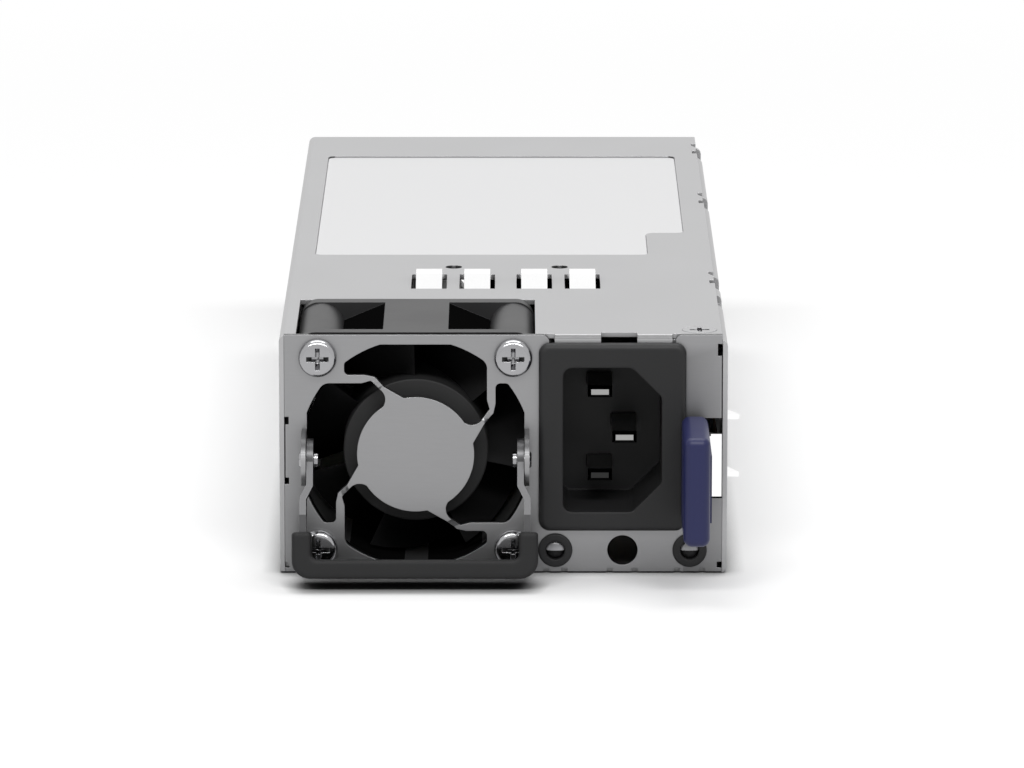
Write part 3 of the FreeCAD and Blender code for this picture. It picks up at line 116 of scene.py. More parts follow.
def add_node(tree, kind, **settings):
    """A node with its settings. A key that is no property names an input, and takes a value or a socket."""
    node = tree.nodes.new(kind)
    for key, value in settings.items():
        if hasattr(node, key):
            setattr(node, key, value)
        elif isinstance(value, bpy.types.NodeSocket):
            tree.links.new(value, node.inputs[key.replace("_", " ")])
        else:
            node.inputs[key.replace("_", " ")].default_value = value
    return node


def arithmetic(tree, operation, a, b=0.0):
    """A Math node whose two inputs are sockets or numbers; gives its output socket."""
    node = tree.nodes.new("ShaderNodeMath")
    node.operation = operation
    for slot, value in zip(node.inputs, (a, b)):
        if isinstance(value, (int, float)):
            slot.default_value = value
        else:
            tree.links.new(value, slot)
    return node.outputs[0]


def between(tree, value, low, high, at_low=0.0, at_high=1.0):
    """A number that runs from at_low to at_high as a socket's value goes from low to high."""
    ramp = add_node(tree, "ShaderNodeMapRange", Value=value, From_Min=low, From_Max=high, To_Min=at_low,
                    To_Max=at_high)
    return ramp.outputs["Result"]


def shade_colour(tree, colour, factor):
    """Colour times a number that changes over the surface; gives its output socket."""
    mix = tree.nodes.new("ShaderNodeVectorMath")
    mix.operation = "SCALE"
    tree.links.new(colour, mix.inputs[0])
    tree.links.new(factor, mix.inputs["Scale"])
    return mix.outputs[0]


def noise_at(tree, coordinates, scale, detail):
    noise = add_node(tree, "ShaderNodeTexNoise", Scale=scale, Detail=detail, Roughness=0.55)
    tree.links.new(coordinates, noise.inputs["Vector"])
    return noise.outputs["Fac"]


def looked_at(tree):
    """1 for rays from the camera, from a mirror or through glass, and 0 for the rest."""
    path = tree.nodes.new("ShaderNodeLightPath")
    mirrored = arithmetic(tree, "MAXIMUM", path.outputs["Is Camera Ray"], path.outputs["Is Glossy Ray"])
    return arithmetic(tree, "MAXIMUM", mirrored, path.outputs["Is Transmission Ray"])


print("helpers are ready")

# %% [markdown]
# ## Camera
# A long lens from a little above, square to the front: the supply shows its grille, inlet and latch in
# front, and its cover foreshortened behind. The lens is long because a short one would spread the sides.

# %% Camera
camera_data = bpy.data.cameras.new("camera")
camera_data.sensor_width = 36.0
camera_data.lens = 258.7
camera = bpy.data.objects.new("camera", camera_data)
bpy.context.scene.collection.objects.link(camera)
camera.location = (0.001407, -1.2713, 0.28236)
camera.rotation_euler = (math.radians(78.0), 0.0, 0.0)
camera_data.clip_start = 0.05
camera_data.clip_end = 20.0
bpy.context.scene.camera = camera
print("camera at", tuple(camera.location))

# %% [markdown]
# ## Floor and light
# A small metal part is lit from above through a wide softbox, with a long strip light in front and a pale
# surround. The surround is what the metal mirrors, so it is white to every ray that sees it, and it gives
# little light of its own. The two lamps give the soft shadows beside the housing and the hard edge under
# the grip, and a painted shadow on the floor, darkest where the supply stands close, makes the band under
# the grip nearly black.

# %% Floor, surround and lamps
floor_half = 5.0
floor = mesh_object("floor", [(-floor_half, -floor_half, 0), (floor_half, -floor_half, 0),
                              (floor_half, floor_half, 0), (-floor_half, floor_half, 0)], [(0, 1, 2, 3)])
floor_drop = 0.00002
floor.location = (0, 0, -floor_drop)

surround_light = 0.12
world = bpy.data.worlds.new("studio")
bpy.context.scene.world = world
world.use_nodes = True
world_tree = world.node_tree
background = world_tree.nodes["Background"]
background.inputs["Color"].default_value = (1.0, 1.0, 1.0, 1.0)
world_strength = between(world_tree, looked_at(world_tree), 0.0, 1.0, surround_light, 1.0)
world_tree.links.new(world_strength, background.inputs["Strength"])


def softbox(name, place, target, wide, high, power):
    lamp = bpy.data.lights.new(name, "AREA")
    lamp.shape = "RECTANGLE"
    lamp.size = wide
    lamp.size_y = high
    lamp.energy = power
    box = bpy.data.objects.new(name, lamp)
    bpy.context.scene.collection.objects.link(box)
    box.location = place
    aim = Vector(target) - Vector(place)
    box.rotation_euler = aim.to_track_quat("-Z", "Y").to_euler()


strip_height = math.radians(47.0)
strip_far = 3.0
strip_aim = (0, -0.1, 0)
softbox("strip_light", target=strip_aim, wide=3.6, high=0.60, power=82.0,
        place=(0, strip_aim[1] - strip_far * math.cos(strip_height), strip_far * math.sin(strip_height)))
softbox("overhead_light", target=(0, 0, 0), wide=2.4, high=1.2, power=35.0, place=(0, 0.7, 2.4))
bpy.context.scene.view_settings.view_transform = "Standard"
print("floor", 2 * floor_half, "m wide; surround", surround_light, "and two softboxes")

# %% [markdown]
# ## Effects that many finishes share
# Rolled sheet has a faint grain drawn out along the rolling direction, moulded plastic has the even skin
# that spark erosion leaves in its mould, handling rubs every outer edge a little brighter, and inside
# corners get painted shade: their colour is darkened where other surfaces stand close. Each effect is a
# shader node group with named inputs, built once and placed in each material with its own values, so that
# one change reaches every finish. A group puts out only colour, roughness, height or a mask: the shader
# itself stays in the material.

# %% Rolled grain, moulded skin and rubbed edges
def grain_group(name, stretch, fine_scale, broad_scale):
    """Fine grain over broad clouds. Stretch squeezes the fine grain's coordinates along the three axes."""
    tree, given, leave = new_group(
        name, "ShaderNodeTree",
        [("Colour", "Color", (0.5, 0.5, 0.5, 1.0)), ("Depth", "Float", 0.05), ("Clouds", "Float", 0.03),
         ("Roughness", "Float", 0.4), ("Spread", "Float", 0.05)],
        [("Colour", "Color"), ("Roughness", "Float"), ("Height", "Float")])
    place = tree.nodes.new("ShaderNodeTexCoord")
    drawn_out = add_node(tree, "ShaderNodeMapping", Scale=stretch)
    tree.links.new(place.outputs["Object"], drawn_out.inputs["Vector"])
    fine = noise_at(tree, drawn_out.outputs[0], fine_scale, 3.0)
    broad = noise_at(tree, place.outputs["Object"], broad_scale, 2.0)

    def swing(noise, amount):
        """A noise that runs from 0 to 1, as a number from -amount to amount."""
        return arithmetic(tree, "MULTIPLY", arithmetic(tree, "SUBTRACT", noise, 0.5),
                          arithmetic(tree, "MULTIPLY", amount, 2.0))

    factor = arithmetic(tree, "ADD", 1.0, arithmetic(tree, "ADD", swing(fine, given["Depth"]),
                                                     swing(broad, given["Clouds"])))
    tree.links.new(shade_colour(tree, given["Colour"], factor), leave["Colour"])
    wander = arithmetic(tree, "ADD", arithmetic(tree, "SUBTRACT", broad, 0.5),
                        arithmetic(tree, "MULTIPLY", arithmetic(tree, "SUBTRACT", fine, 0.5), 0.5))
    rough = arithmetic(tree, "ADD", given["Roughness"], arithmetic(
        tree, "MULTIPLY", wander, arithmetic(tree, "MULTIPLY", given["Spread"], 2.0)))
    tree.links.new(rough, leave["Roughness"])
    tree.links.new(fine, leave["Height"])
    return tree


rolled_grain = grain_group("rolled_grain", (1.0, 0.12, 1.0), fine_scale=3200.0, broad_scale=55.0)
drawn_grain = grain_group("drawn_grain", (0.10, 1.0, 1.0), fine_scale=3200.0, broad_scale=55.0)
moulded_skin = grain_group("moulded_skin", (1.0, 1.0, 1.0), fine_scale=3600.0, broad_scale=80.0)
bevel_samples = 4


def rubbed_edge_group():
    """How far the surface normal turns within Width of a point: near 0 on a flat and high at an edge."""
    tree, given, leave = new_group("rubbed_edges", "ShaderNodeTree", [
        ("Width", "Float", 0.0002), ("Amount", "Float", 1.0)], [("Mask", "Float")])
    rounded = add_node(tree, "ShaderNodeBevel", samples=bevel_samples, Radius=given["Width"])
    flat = tree.nodes.new("ShaderNodeNewGeometry")
    turned = tree.nodes.new("ShaderNodeVectorMath")
    turned.operation = "DOT_PRODUCT"
    tree.links.new(rounded.outputs["Normal"], turned.inputs[0])
    tree.links.new(flat.outputs["Normal"], turned.inputs[1])
    edge = arithmetic(tree, "SUBTRACT", 1.0, turned.outputs["Value"])
    tree.links.new(arithmetic(tree, "MULTIPLY", between(tree, edge, 0.02, 0.22), given["Amount"]),
                   leave["Mask"])
    return tree


def painted_contact_shade_group():
    """Painted shade: a factor below 1 where something stands close, as in inside corners and beside a
    flange, that the colour is multiplied by.
    """
    tree, given, leave = new_group("painted_contact_shade", "ShaderNodeTree", [
        ("Reach", "Float", 0.01), ("Amount", "Float", 0.3)], [("Factor", "Float")])
    near = add_node(tree, "ShaderNodeAmbientOcclusion", samples=8, Distance=given["Reach"])
    hidden = arithmetic(tree, "SUBTRACT", 1.0, near.outputs["AO"])
    kept = arithmetic(tree, "SUBTRACT", 1.0, arithmetic(tree, "MULTIPLY", hidden, given["Amount"]))
    tree.links.new(kept, leave["Factor"])
    return tree


rubbed_edges = rubbed_edge_group()
painted_contact_shade = painted_contact_shade_group()
print("effects:", [group.name for group in (rolled_grain, drawn_grain, moulded_skin, rubbed_edges,
                                            painted_contact_shade)])

# %% [markdown]
# ## The finishes
# The housing is bright zinc-plated steel sheet, the panel the same sheet, the grip and the inlet black
# moulded plastic, and the latch's tab blue. One function makes them all from a grain group and a bump node.
# Gloss, metal and coat are plain values on the shader's own sockets, because they are the same all over a
# surface, and only the colour, the roughness and the height vary.

# %% Finishes
def finish(name, colour, roughness, metallic=0.0, specular=0.5, grain=None, depth=0.05, clouds=0.03,
           spread=0.04, bump=0.0, edge=0.0, coat=0.0, soft_edge=0.0, contact=0.0, reach=0.01, ior=1.5,
           shade=None):
    """A finish from one grain group. Edge brightens the rubbed edges, and contact paints shade: it darkens
    the colour where something else lies within reach. Bump is the grain's height and soft_edge the radius
    that edges are shaded with, all in metres. Shade is a function that adds a mask and gives its socket: the
    colour is multiplied by it, which paints shade, and on the light guides a reflection."""
    material, tree, shader = plain_material(name)
    for title, value in (("IOR", ior), ("Metallic", metallic), ("Specular IOR Level", specular),
                         ("Coat Weight", coat)):
        shader.inputs[title].default_value = value
    effect = add_node(tree, "ShaderNodeGroup", node_tree=grain or moulded_skin, Colour=(*colour, 1.0),
                      Depth=depth, Clouds=clouds, Roughness=roughness, Spread=spread)
    painted = effect.outputs["Colour"]
    if edge:
        rubbed = add_node(tree, "ShaderNodeGroup", node_tree=rubbed_edges, Amount=edge)
        painted = shade_colour(tree, painted, arithmetic(tree, "ADD", rubbed.outputs["Mask"], 1.0))
    # Painted shade: the colour is darkened where other surfaces stand close.
    if contact:
        near = add_node(tree, "ShaderNodeGroup", node_tree=painted_contact_shade, Reach=reach, Amount=contact)
        painted = shade_colour(tree, painted, near.outputs["Factor"])
    if shade:
        painted = shade_colour(tree, painted, shade(tree))
    tree.links.new(painted, shader.inputs["Base Color"])
    tree.links.new(effect.outputs["Roughness"], shader.inputs["Roughness"])
    if bump:
        relief = add_node(tree, "ShaderNodeBump", Strength=1.0, Distance=bump)
        tree.links.new(effect.outputs["Height"], relief.inputs["Height"])
        tree.links.new(relief.outputs["Normal"], shader.inputs["Normal"])
        if soft_edge:
            rounded = add_node(tree, "ShaderNodeBevel", samples=bevel_samples, Radius=soft_edge)
            tree.links.new(rounded.outputs["Normal"], relief.inputs["Normal"])
    return material


floor_paper, floor_tree, floor_shader = plain_material("floor_paper")
floor_shader.inputs["Roughness"].default_value = 1.0
floor_shader.inputs["Specular IOR Level"].default_value = 0.0
# Painted shadow: the paper's colour is darkened where the supply stands close, nearly black under the grip.
painted_floor_shadow = add_node(floor_tree, "ShaderNodeGroup", node_tree=painted_contact_shade, Reach=0.0035, Amount=1.0)
paper_white = add_node(floor_tree, "ShaderNodeRGB")
paper_white.outputs[0].default_value = (0.96, 0.96, 0.96, 1.0)
floor_tree.links.new(shade_colour(floor_tree, paper_white.outputs[0], painted_floor_shadow.outputs["Factor"]),
                     floor_shader.inputs["Base Color"])
floor_place = floor_tree.nodes.new("ShaderNodeTexCoord")
from_middle = add_node(floor_tree, "ShaderNodeVectorMath", operation="LENGTH")
floor_tree.links.new(floor_place.outputs["Object"], from_middle.inputs[0])
fade_start, fade_end = 0.22, 0.50
far_off = between(floor_tree, from_middle.outputs["Value"], fade_start, fade_end)
backdrop = add_node(floor_tree, "ShaderNodeEmission", Strength=1.0)
blend = add_node(floor_tree, "ShaderNodeMixShader",
                 Fac=arithmetic(floor_tree, "MULTIPLY", far_off, looked_at(floor_tree)))
floor_tree.links.new(floor_shader.outputs[0], blend.inputs[1])
floor_tree.links.new(backdrop.outputs[0], blend.inputs[2])
floor_tree.links.new(blend.outputs[0], floor_tree.nodes["Material Output"].inputs["Surface"])
floor.data.materials.append(floor_paper)
print("floor finish: white paper that fades into a white backdrop")

steel = (0.41, 0.41, 0.415)
sheet = {"depth": 0.035, "clouds": 0.02, "spread": 0.04, "bump": 0.0000006, "soft_edge": 0.00012}
finishes = {
    "sheet_steel": finish("sheet_steel", steel, 0.40, 1.0, grain=rolled_grain, edge=0.25, contact=0.25,
                          **sheet),
    "spring_steel": finish("spring_steel", (0.98, 0.98, 0.98), 0.12, 1.0, grain=rolled_grain, depth=0.02,
                           spread=0.03, bump=0.0000004),
    "screw_steel": finish("screw_steel", (0.36, 0.36, 0.37), 0.15, 1.0, depth=0.03, spread=0.04,
                          bump=0.0000004, soft_edge=0.0001, contact=0.3, reach=0.002),
    "black_plastic": finish("black_plastic", (0.0115, 0.0115, 0.012), 0.5, 0.0, 0.3, depth=0.14, clouds=0.06,
                            spread=0.06, bump=0.000004, soft_edge=0.0005),
    "fan_plastic": finish("fan_plastic", (0.016, 0.016, 0.0165), 0.42, 0.0, 0.35, depth=0.1, clouds=0.05,
                          spread=0.05, bump=0.000002, soft_edge=0.0001, ior=1.3),
    "grip_plastic": finish("grip_plastic", (0.0152, 0.0152, 0.0156), 0.5, 0.0, 0.4, depth=0.12, clouds=0.06,
                           spread=0.05, bump=0.000005, soft_edge=0.0008, ior=1.3),
    "latch_blue": finish("latch_blue", (0.0100, 0.0125, 0.062), 0.42, 0.0, 0.35, depth=0.05, clouds=0.05,
                         spread=0.05, bump=0.000002),
    "label_film": finish("label_film", (0.68, 0.68, 0.685), 0.5, 0.0, 0.25, depth=0.008, clouds=0.008,
                         spread=0.04, bump=0.000001),
    "clear_lens": finish("clear_lens", (0.5, 0.5, 0.5), 0.1, depth=0.02),
    "gold_plate": finish("gold_plate", (0.9, 0.65, 0.25), 0.2, 1.0, depth=0.03),
    "copper": finish("copper", (0.75, 0.35, 0.18), 0.3, 1.0, depth=0.05),
    "ferrite": finish("ferrite", (0.05, 0.05, 0.055), 0.6, depth=0.15, bump=0.000004),
    "bare_aluminium": finish("bare_aluminium", (0.7, 0.71, 0.72), 0.35, 1.0, grain=rolled_grain, depth=0.04,
                             bump=0.000001),
    "case_yellow": finish("case_yellow", (0.75, 0.6, 0.1), 0.5, depth=0.04),
    "case_dark": finish("case_dark", (0.03, 0.03, 0.035), 0.5, depth=0.1, bump=0.000003),
    "sleeve_black": finish("sleeve_black", (0.02, 0.02, 0.03), 0.3, depth=0.05, coat=0.3),
    "film_clear": finish("film_clear", (0.8, 0.78, 0.66), 0.5, depth=0.02),
    "magnet": finish("magnet", (0.08, 0.08, 0.09), 0.6, depth=0.15, bump=0.000003),
    "bearing_steel": finish("bearing_steel", (0.6, 0.6, 0.61), 0.25, 1.0, depth=0.03),
    "fuse_ceramic": finish("fuse_ceramic", (0.8, 0.78, 0.72), 0.3, depth=0.02),
}
print(len(finishes), "finishes that are the same all over")

# %% [markdown]
# ## Finishes that change from place to place
# The inlet's pins get painted shade: their tips keep their colour, while their sides, their undersides, the
# round between tip and sides and the lowest pin's tip are darkened for the dark cavity they stand in. The
# panel gets painted shade low down, beside the inlet and on faces that look up, and the cover's tilted lips
# are darkened to tone down the lamps' highlight. The strap of the handle is rougher steel than the springs,
# and its colour is painted dark to tone down the strip light's reflection on it. A mask that reads the
# surface's own position and direction makes such a change, and stays where it is from every side.

# %% Masks by place and direction
fan_low, fan_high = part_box("fan_frame")
fan_x, _, fan_z = middle(fan_low, fan_high)


def place_on(tree):
    """Sockets for the three coordinates of a point of the surface."""
    place = tree.nodes.new("ShaderNodeTexCoord")
    return add_node(tree, "ShaderNodeSeparateXYZ", Vector=place.outputs["Object"]).outputs


def direction_of(tree):
    """Sockets for the three parts of the direction that the surface faces."""
    shape = tree.nodes.new("ShaderNodeNewGeometry")
    return add_node(tree, "ShaderNodeSeparateXYZ", Vector=shape.outputs["True Normal"]).outputs


def painted_shade_on_pins(tree):
    """Painted shade on a pin: the flat tip keeps its colour but is darker low down, the sides and the
    underside are darkened, and the round between tip and sides is painted nearly black."""
    spot, way = place_on(tree), direction_of(tree)
    facing_front = between(tree, way["Y"], -0.97, -0.9, 1.0, 0.0)
    sides = between(tree, way["Y"], -0.3, -0.2, 0.002, 0.35)
    under = between(tree, way["Z"], -0.6, -0.5, 0.2, 0.0)
    lowest = between(tree, spot["Z"], 0.017, 0.022, 0.09, 1.0)
    tip = arithmetic(tree, "MULTIPLY", facing_front, lowest)
    return arithmetic(tree, "MAXIMUM", tip, arithmetic(tree, "MAXIMUM", sides, under))


def painted_shade_low_and_right(tree):
    """Painted shade: the panel's lowest part, the strip beside the inlet and the faces that look up are
    darkened.
    """
    spot, way = place_on(tree), direction_of(tree)
    low = between(tree, spot["Z"], 0.003, 0.013, 0.90, 1.0)
    bend = between(tree, spot["X"], 0.0300, 0.0365, 0.70, 0.95)
    right = between(tree, spot["X"], 0.0295, 0.0300, 1.0, 0.0)
    above_inlet = between(tree, spot["Z"], 0.030, 0.0385, 0.0, 1.0)
    beside = arithmetic(tree, "MAXIMUM", arithmetic(tree, "MAXIMUM", right, bend), above_inlet)
    facing_up = between(tree, way["Z"], 0.25, 0.5, 1.0, 0.35)
    return arithmetic(tree, "MULTIPLY", arithmetic(tree, "MULTIPLY", low, beside), facing_up)


def painted_shade_on_lips(tree):
    """Painted shade: the faces of the cover's lips that look forwards, at a tilt, are darkened to tone down
    the lamps' highlight on them.
    """
    way = direction_of(tree)
    forward = between(tree, way["Y"], -0.995, -0.97, 0.0, 1.0)
    tilted = between(tree, way["Y"], -0.5, -0.45, 1.0, 0.0)
    return between(tree, arithmetic(tree, "MULTIPLY", forward, tilted), 0.0, 1.0, 1.0, 0.3)


# The panel is the same sheet as the cover, given a darker colour: painted shade for its front face.
panel_tone_painted_darker = (0.293, 0.293, 0.298)
finishes["panel_steel"] = finish("panel_steel", panel_tone_painted_darker, 0.40, 1.0, grain=drawn_grain, edge=0.2,
                                 contact=0.1, reach=0.006, shade=painted_shade_low_and_right, **sheet)
cover_steel = finish("cover_steel", steel, 0.40, 1.0, grain=rolled_grain, edge=0.25, contact=0.25,
                     shade=painted_shade_on_lips, **sheet)
finishes["pin_brass"] = finish("pin_brass", (0.36, 0.36, 0.355), 0.3, 1.0, grain=rolled_grain, depth=0.03,
                               bump=0.0000004, shade=painted_shade_on_pins)
# The strap's steel is painted dark: painted shade that tones down the strip light's reflection on it.
strap_steel_painted_dark = finish("strap_steel_painted_dark", (0.085, 0.085, 0.087), 0.38, 1.0, grain=rolled_grain, depth=0.04,
                     clouds=0.04, spread=0.05, bump=0.0000006, edge=0.3, contact=0.4, reach=0.004)
blade_plastic = finish("blade_plastic", (0.009, 0.009, 0.0092), 0.55, 0.0, 0.2, depth=0.1, clouds=0.05,
                       spread=0.05, bump=0.000002, ior=1.2)
hub_plastic = finish("hub_plastic", (0.012, 0.012, 0.0122), 0.62, 0.0, 0.3, depth=0.1, clouds=0.05,
                     spread=0.05, bump=0.000002)
print("finishes with masks for the panel, the cover and the pins, and plain ones for the strap and the fan")

# %% [markdown]
# ## The printed boards
# A board is green solder mask over copper tracks. The tracks run in straight lanes and show through the mask
# as paler lines, with round tinned pads where parts are soldered. Modelled tracks would be thousands of
# faces for a shape a few hundredths of a millimetre high, so a brick pattern draws the lanes and a Voronoi
# pattern the pads, both on the board's own coordinates, and the same masks raise them a little in the bump.

# %% Board finish
def board_finish(name, mask_green, track_green, pad_colour):
    material, tree, shader = plain_material(name)
    spot = place_on(tree)
    flat = add_node(tree, "ShaderNodeCombineXYZ", X=spot["X"], Y=spot["Y"])
    lanes = add_node(tree, "ShaderNodeTexBrick", Vector=flat.outputs[0], Scale=1.0, Mortar_Size=0.00022,
                     Mortar_Smooth=0.2, Brick_Width=0.009, Row_Height=0.0016)
    pads = add_node(tree, "ShaderNodeTexVoronoi", Vector=flat.outputs[0], Scale=170.0, Randomness=0.75)
    pad = between(tree, pads.outputs["Distance"], 0.15, 0.17, 1.0, 0.0)
    track = lanes.outputs["Fac"]
    cloth = noise_at(tree, flat.outputs[0], 900.0, 2.0)
    colours = []
    for colour in (mask_green, track_green, pad_colour):
        paint = add_node(tree, "ShaderNodeRGB")
        paint.outputs[0].default_value = (*colour, 1.0)
        colours.append(paint.outputs[0])
    with_tracks = add_node(tree, "ShaderNodeMix", data_type="RGBA")
    with_pads = add_node(tree, "ShaderNodeMix", data_type="RGBA")
    for mix, share, under, over in ((with_tracks, track, colours[0], colours[1]),
                                    (with_pads, pad, with_tracks.outputs[2], colours[2])):
        tree.links.new(share, mix.inputs[0])
        tree.links.new(under, mix.inputs[6])
        tree.links.new(over, mix.inputs[7])
    grained = shade_colour(tree, with_pads.outputs[2], between(tree, cloth, 0.2, 0.8, 0.88, 1.1))
    tree.links.new(grained, shader.inputs["Base Color"])
    tree.links.new(pad, shader.inputs["Metallic"])
    tree.links.new(between(tree, pad, 0.0, 1.0, 0.32, 0.22), shader.inputs["Roughness"])
    raised = arithmetic(tree, "MAXIMUM", track, pad)
    relief = add_node(tree, "ShaderNodeBump", Strength=1.0, Distance=0.00003, Height=raised)
    tree.links.new(relief.outputs["Normal"], shader.inputs["Normal"])
    return material


finishes["circuit_board"] = board_finish("board_green", mask_green=(0.012, 0.085, 0.032),
                                         track_green=(0.03, 0.16, 0.06), pad_colour=(0.62, 0.60, 0.55))

# %% A finish on every node
slot_of = {row["node"]: row["material_slot"] for row in frame["record"]["subparts"]}
finish_of = {"top_cover": cover_steel, "handle_strap": strap_steel_painted_dark}
for name, node in nodes.items():
    node.data.materials.clear()
    node.data.materials.append(finish_of.get(name, finishes[slot_of[name]]))
print("finishes on", len(nodes), "nodes")

# %% [markdown]
# ## The front panel as one stamping
# The panel, with its dished grille, is pressed from one sheet, but the model holds it as two solids. Each
# would be shaded as if it ended where they meet. So both are copied into one mesh, their triangles are
# merged, and the hidden faces where they meet are taken out, which leaves one sheet without a seam.

# %% Panel in one piece
weld = 0.000001


def merged_copy(sources):
    """A bmesh that holds copies of CAD nodes' meshes, with their loose triangles joined."""
    shape = bmesh.new()
    for source in sources:
        shape.from_mesh(nodes[source].data)
    bmesh.ops.remove_doubles(shape, verts=shape.verts[:], dist=weld)
    return shape


shape = merged_copy(("front_panel", "fan_grille"))
flat_enough = 0.02
seam_slack = 0.0001
seam_reach = max(abs(point.co.x - fan_x) + abs(point.co.z - fan_z)
                 for point in nodes["fan_grille"].data.vertices)
seam_faces = []
for face in shape.faces:
    away = face.calc_center_median() - Vector((fan_x, 0.0, fan_z))
    reach = abs(away.x) + abs(away.z)
    diagonal = (abs(abs(face.normal.x) - abs(face.normal.z)) < flat_enough
                and abs(face.normal.y) < flat_enough)
    if diagonal and abs(reach - seam_reach) < seam_slack:
        seam_faces.append(face)
bmesh.ops.delete(shape, geom=seam_faces, context="FACES_ONLY")
bmesh.ops.holes_fill(shape, edges=[edge for edge in shape.edges if len(edge.link_faces) == 1], sides=0)
print("seam faces taken out:", len(seam_faces), "open edges left:",
      sum(1 for edge in shape.edges if len(edge.link_faces) == 1))
panel_stamping = piece_from(shape, "panel_stamping")
panel_stamping.data.materials.append(finishes["panel_steel"])
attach(panel_stamping, "chassis")
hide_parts("front_panel", "fan_grille")

# %% [markdown]
# ## The fan's frame
# The moulded frame shows through the cover's window: two flat pads, round corner posts, and hollows between
# them. A solid has one finish, so the frame is a copy of it: the copy's loose triangles are merged, and its
# slanting faces between the posts, with the front faces just behind the panel, take a second finish that is
# rough and painted nearly black, as painted shade for the hollows.

# %% Frame in two finishes
frame_plastic = finish("frame_plastic", (0.022, 0.022, 0.0225), 0.45, 0.0, 0.35, depth=0.1, clouds=0.05,
                       spread=0.05, bump=0.000002, soft_edge=0.0001)
# Painted shade: the hollows' finish is far darker than the frame's own plastic.
painted_hollow_shade = finish("painted_hollow_shade", (0.003, 0.003, 0.003), 0.95, 0.0, 0.0, depth=0.2, clouds=0.1,
                        spread=0.02, bump=0.000006, ior=1.02)
fan_housing = piece_from(merged_copy(("fan_frame",)), "fan_housing")
fan_housing.data.materials.append(frame_plastic)
fan_housing.data.materials.append(painted_hollow_shade)
post_side = 0.0121
hollow_start = 0.0155
front_skin = 0.0002
hollows = 0
for face in fan_housing.data.polygons:
    slanting = abs(face.normal.x) > 0.1 and abs(face.normal.y) < 0.5
    between_posts = abs(face.center.x - fan_x) < post_side and abs(face.center.z - fan_z) > hollow_start
    # The front faces just behind the panel take the painted shade too.
    behind_panel = face.normal.y < -0.9 and face.center.y < fan_low[1] + front_skin
    if (slanting and between_posts) or behind_panel:
        face.material_index = 1
        hollows += 1
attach(fan_housing, "chassis")
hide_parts("fan_frame")
print("fan housing with", hollows, "matt faces in its hollows")

# %% [markdown]
# ## Geometry Nodes for what repeats
# Screws, blades and turns of wire are one shape placed many times. They could be copied in a loop of
# script, but a Geometry Nodes tree keeps the rule itself, with sizes and counts as named inputs. One helper
# ends a tree and another runs it once on an empty mesh and keeps the result as a plain mesh, because only
# plain meshes go on to the frame. Inputs are set by their identifiers, which stay the same when a name is
# used twice.

# %% Helpers for geometry trees
def new_geometry_tree(name, inputs):
    return new_group(name, "GeometryNodeTree", inputs, [("Geometry", "Geometry")])


def end_tree(tree, given, leave, geometry):
    """Gives the geometry the tree's own finish and sends it out."""
    finished = add_node(tree, "GeometryNodeSetMaterial", Geometry=geometry, Material=given["Finish"])
    tree.links.new(finished.outputs["Geometry"], leave["Geometry"])
    print("tree", tree.name, "with", len(tree.nodes), "nodes")


def grow(name, tree, inputs):
    """Runs a tree with these inputs, keeps what it makes as a plain mesh and drops the modifier."""
    piece = mesh_object(name, [(0, 0, 0)], [])
    modifier = piece.modifiers.new(tree.name, "NODES")
    modifier.node_group = tree
    for item in tree.interface.items_tree:
        if item.item_type == "SOCKET" and item.in_out == "INPUT" and item.name in inputs:
            modifier[item.identifier] = inputs[item.name]
    evaluated = piece.evaluated_get(bpy.context.evaluated_depsgraph_get())
    mesh = bpy.data.meshes.new_from_object(evaluated)
    piece.modifiers.remove(modifier)
    piece.data = mesh
    mesh.name = name
    smooth(mesh)
    print(name, "has", len(mesh.polygons), "faces")
    return piece


def revolved(name, profile, segments, closed=False):
    """Turns (radius, height) points about Z. A point at radius 0 is a pole; closed joins last to first."""
    shape = bmesh.new()
    rings = []
    for radius, high in profile:
        steps = [2 * math.pi * k / segments for k in range(segments if radius else 1)]
        rings.append([shape.verts.new((radius * math.cos(a), radius * math.sin(a), high)) for a in steps])
    for low, high in zip(rings, rings[1:] + (rings[:1] if closed else [])):
        for k in range(segments):
            corners = [low[k % len(low)], low[(k + 1) % len(low)], high[(k + 1) % len(high)],
                       high[k % len(high)]]
            shape.faces.new(list(dict.fromkeys(corners)))
    bmesh.ops.recalc_face_normals(shape, faces=shape.faces[:])
    return piece_from(shape, name)


def round_over(radius, high, reach, drop, steps):
    """Points of a quarter ellipse that leaves (radius, high) outwards and falls by drop within reach."""
    turns = [math.pi / 2 * k / steps for k in range(steps + 1)]
    return [(radius + reach * math.sin(t), high - drop * (1 - math.cos(t))) for t in turns]


print("helpers for geometry trees are ready")

# %% [markdown]
# ## The four screws that hold the fan
# Pan head machine screws go through the panel's corners into the fan's frame. Their polished rims catch the
# light as bright crescents, and a cross recess goes down into each head, narrower towards its floor, where
# the driver's point seats. The head's outline is revolved, with the thread's ridges on the shank. The tree
# then carves the recess with two tapered wings, sets the screws out in a grid, and paints the ends of the
# level wing nearly black, as painted shade deep in the recess.

# %% Tree for driven screws
screw_tree, given, leave = new_geometry_tree("driven_screws", [
    ("Screw", "Object", None), ("Recess Reach", "Float", 0.0019), ("Recess Half Width", "Float", 0.0004),
    ("Recess Depth", "Float", 0.0012), ("Columns", "Int", 2), ("Rows", "Int", 2),
    ("Column Pitch", "Float", 0.032), ("Row Pitch", "Float", 0.032), ("Centre", "Vector", (0, 0, 0)),
    ("Turn", "Vector", (0, 0, 0)), ("Steel", "Material", None), ("Recess", "Material", None)])


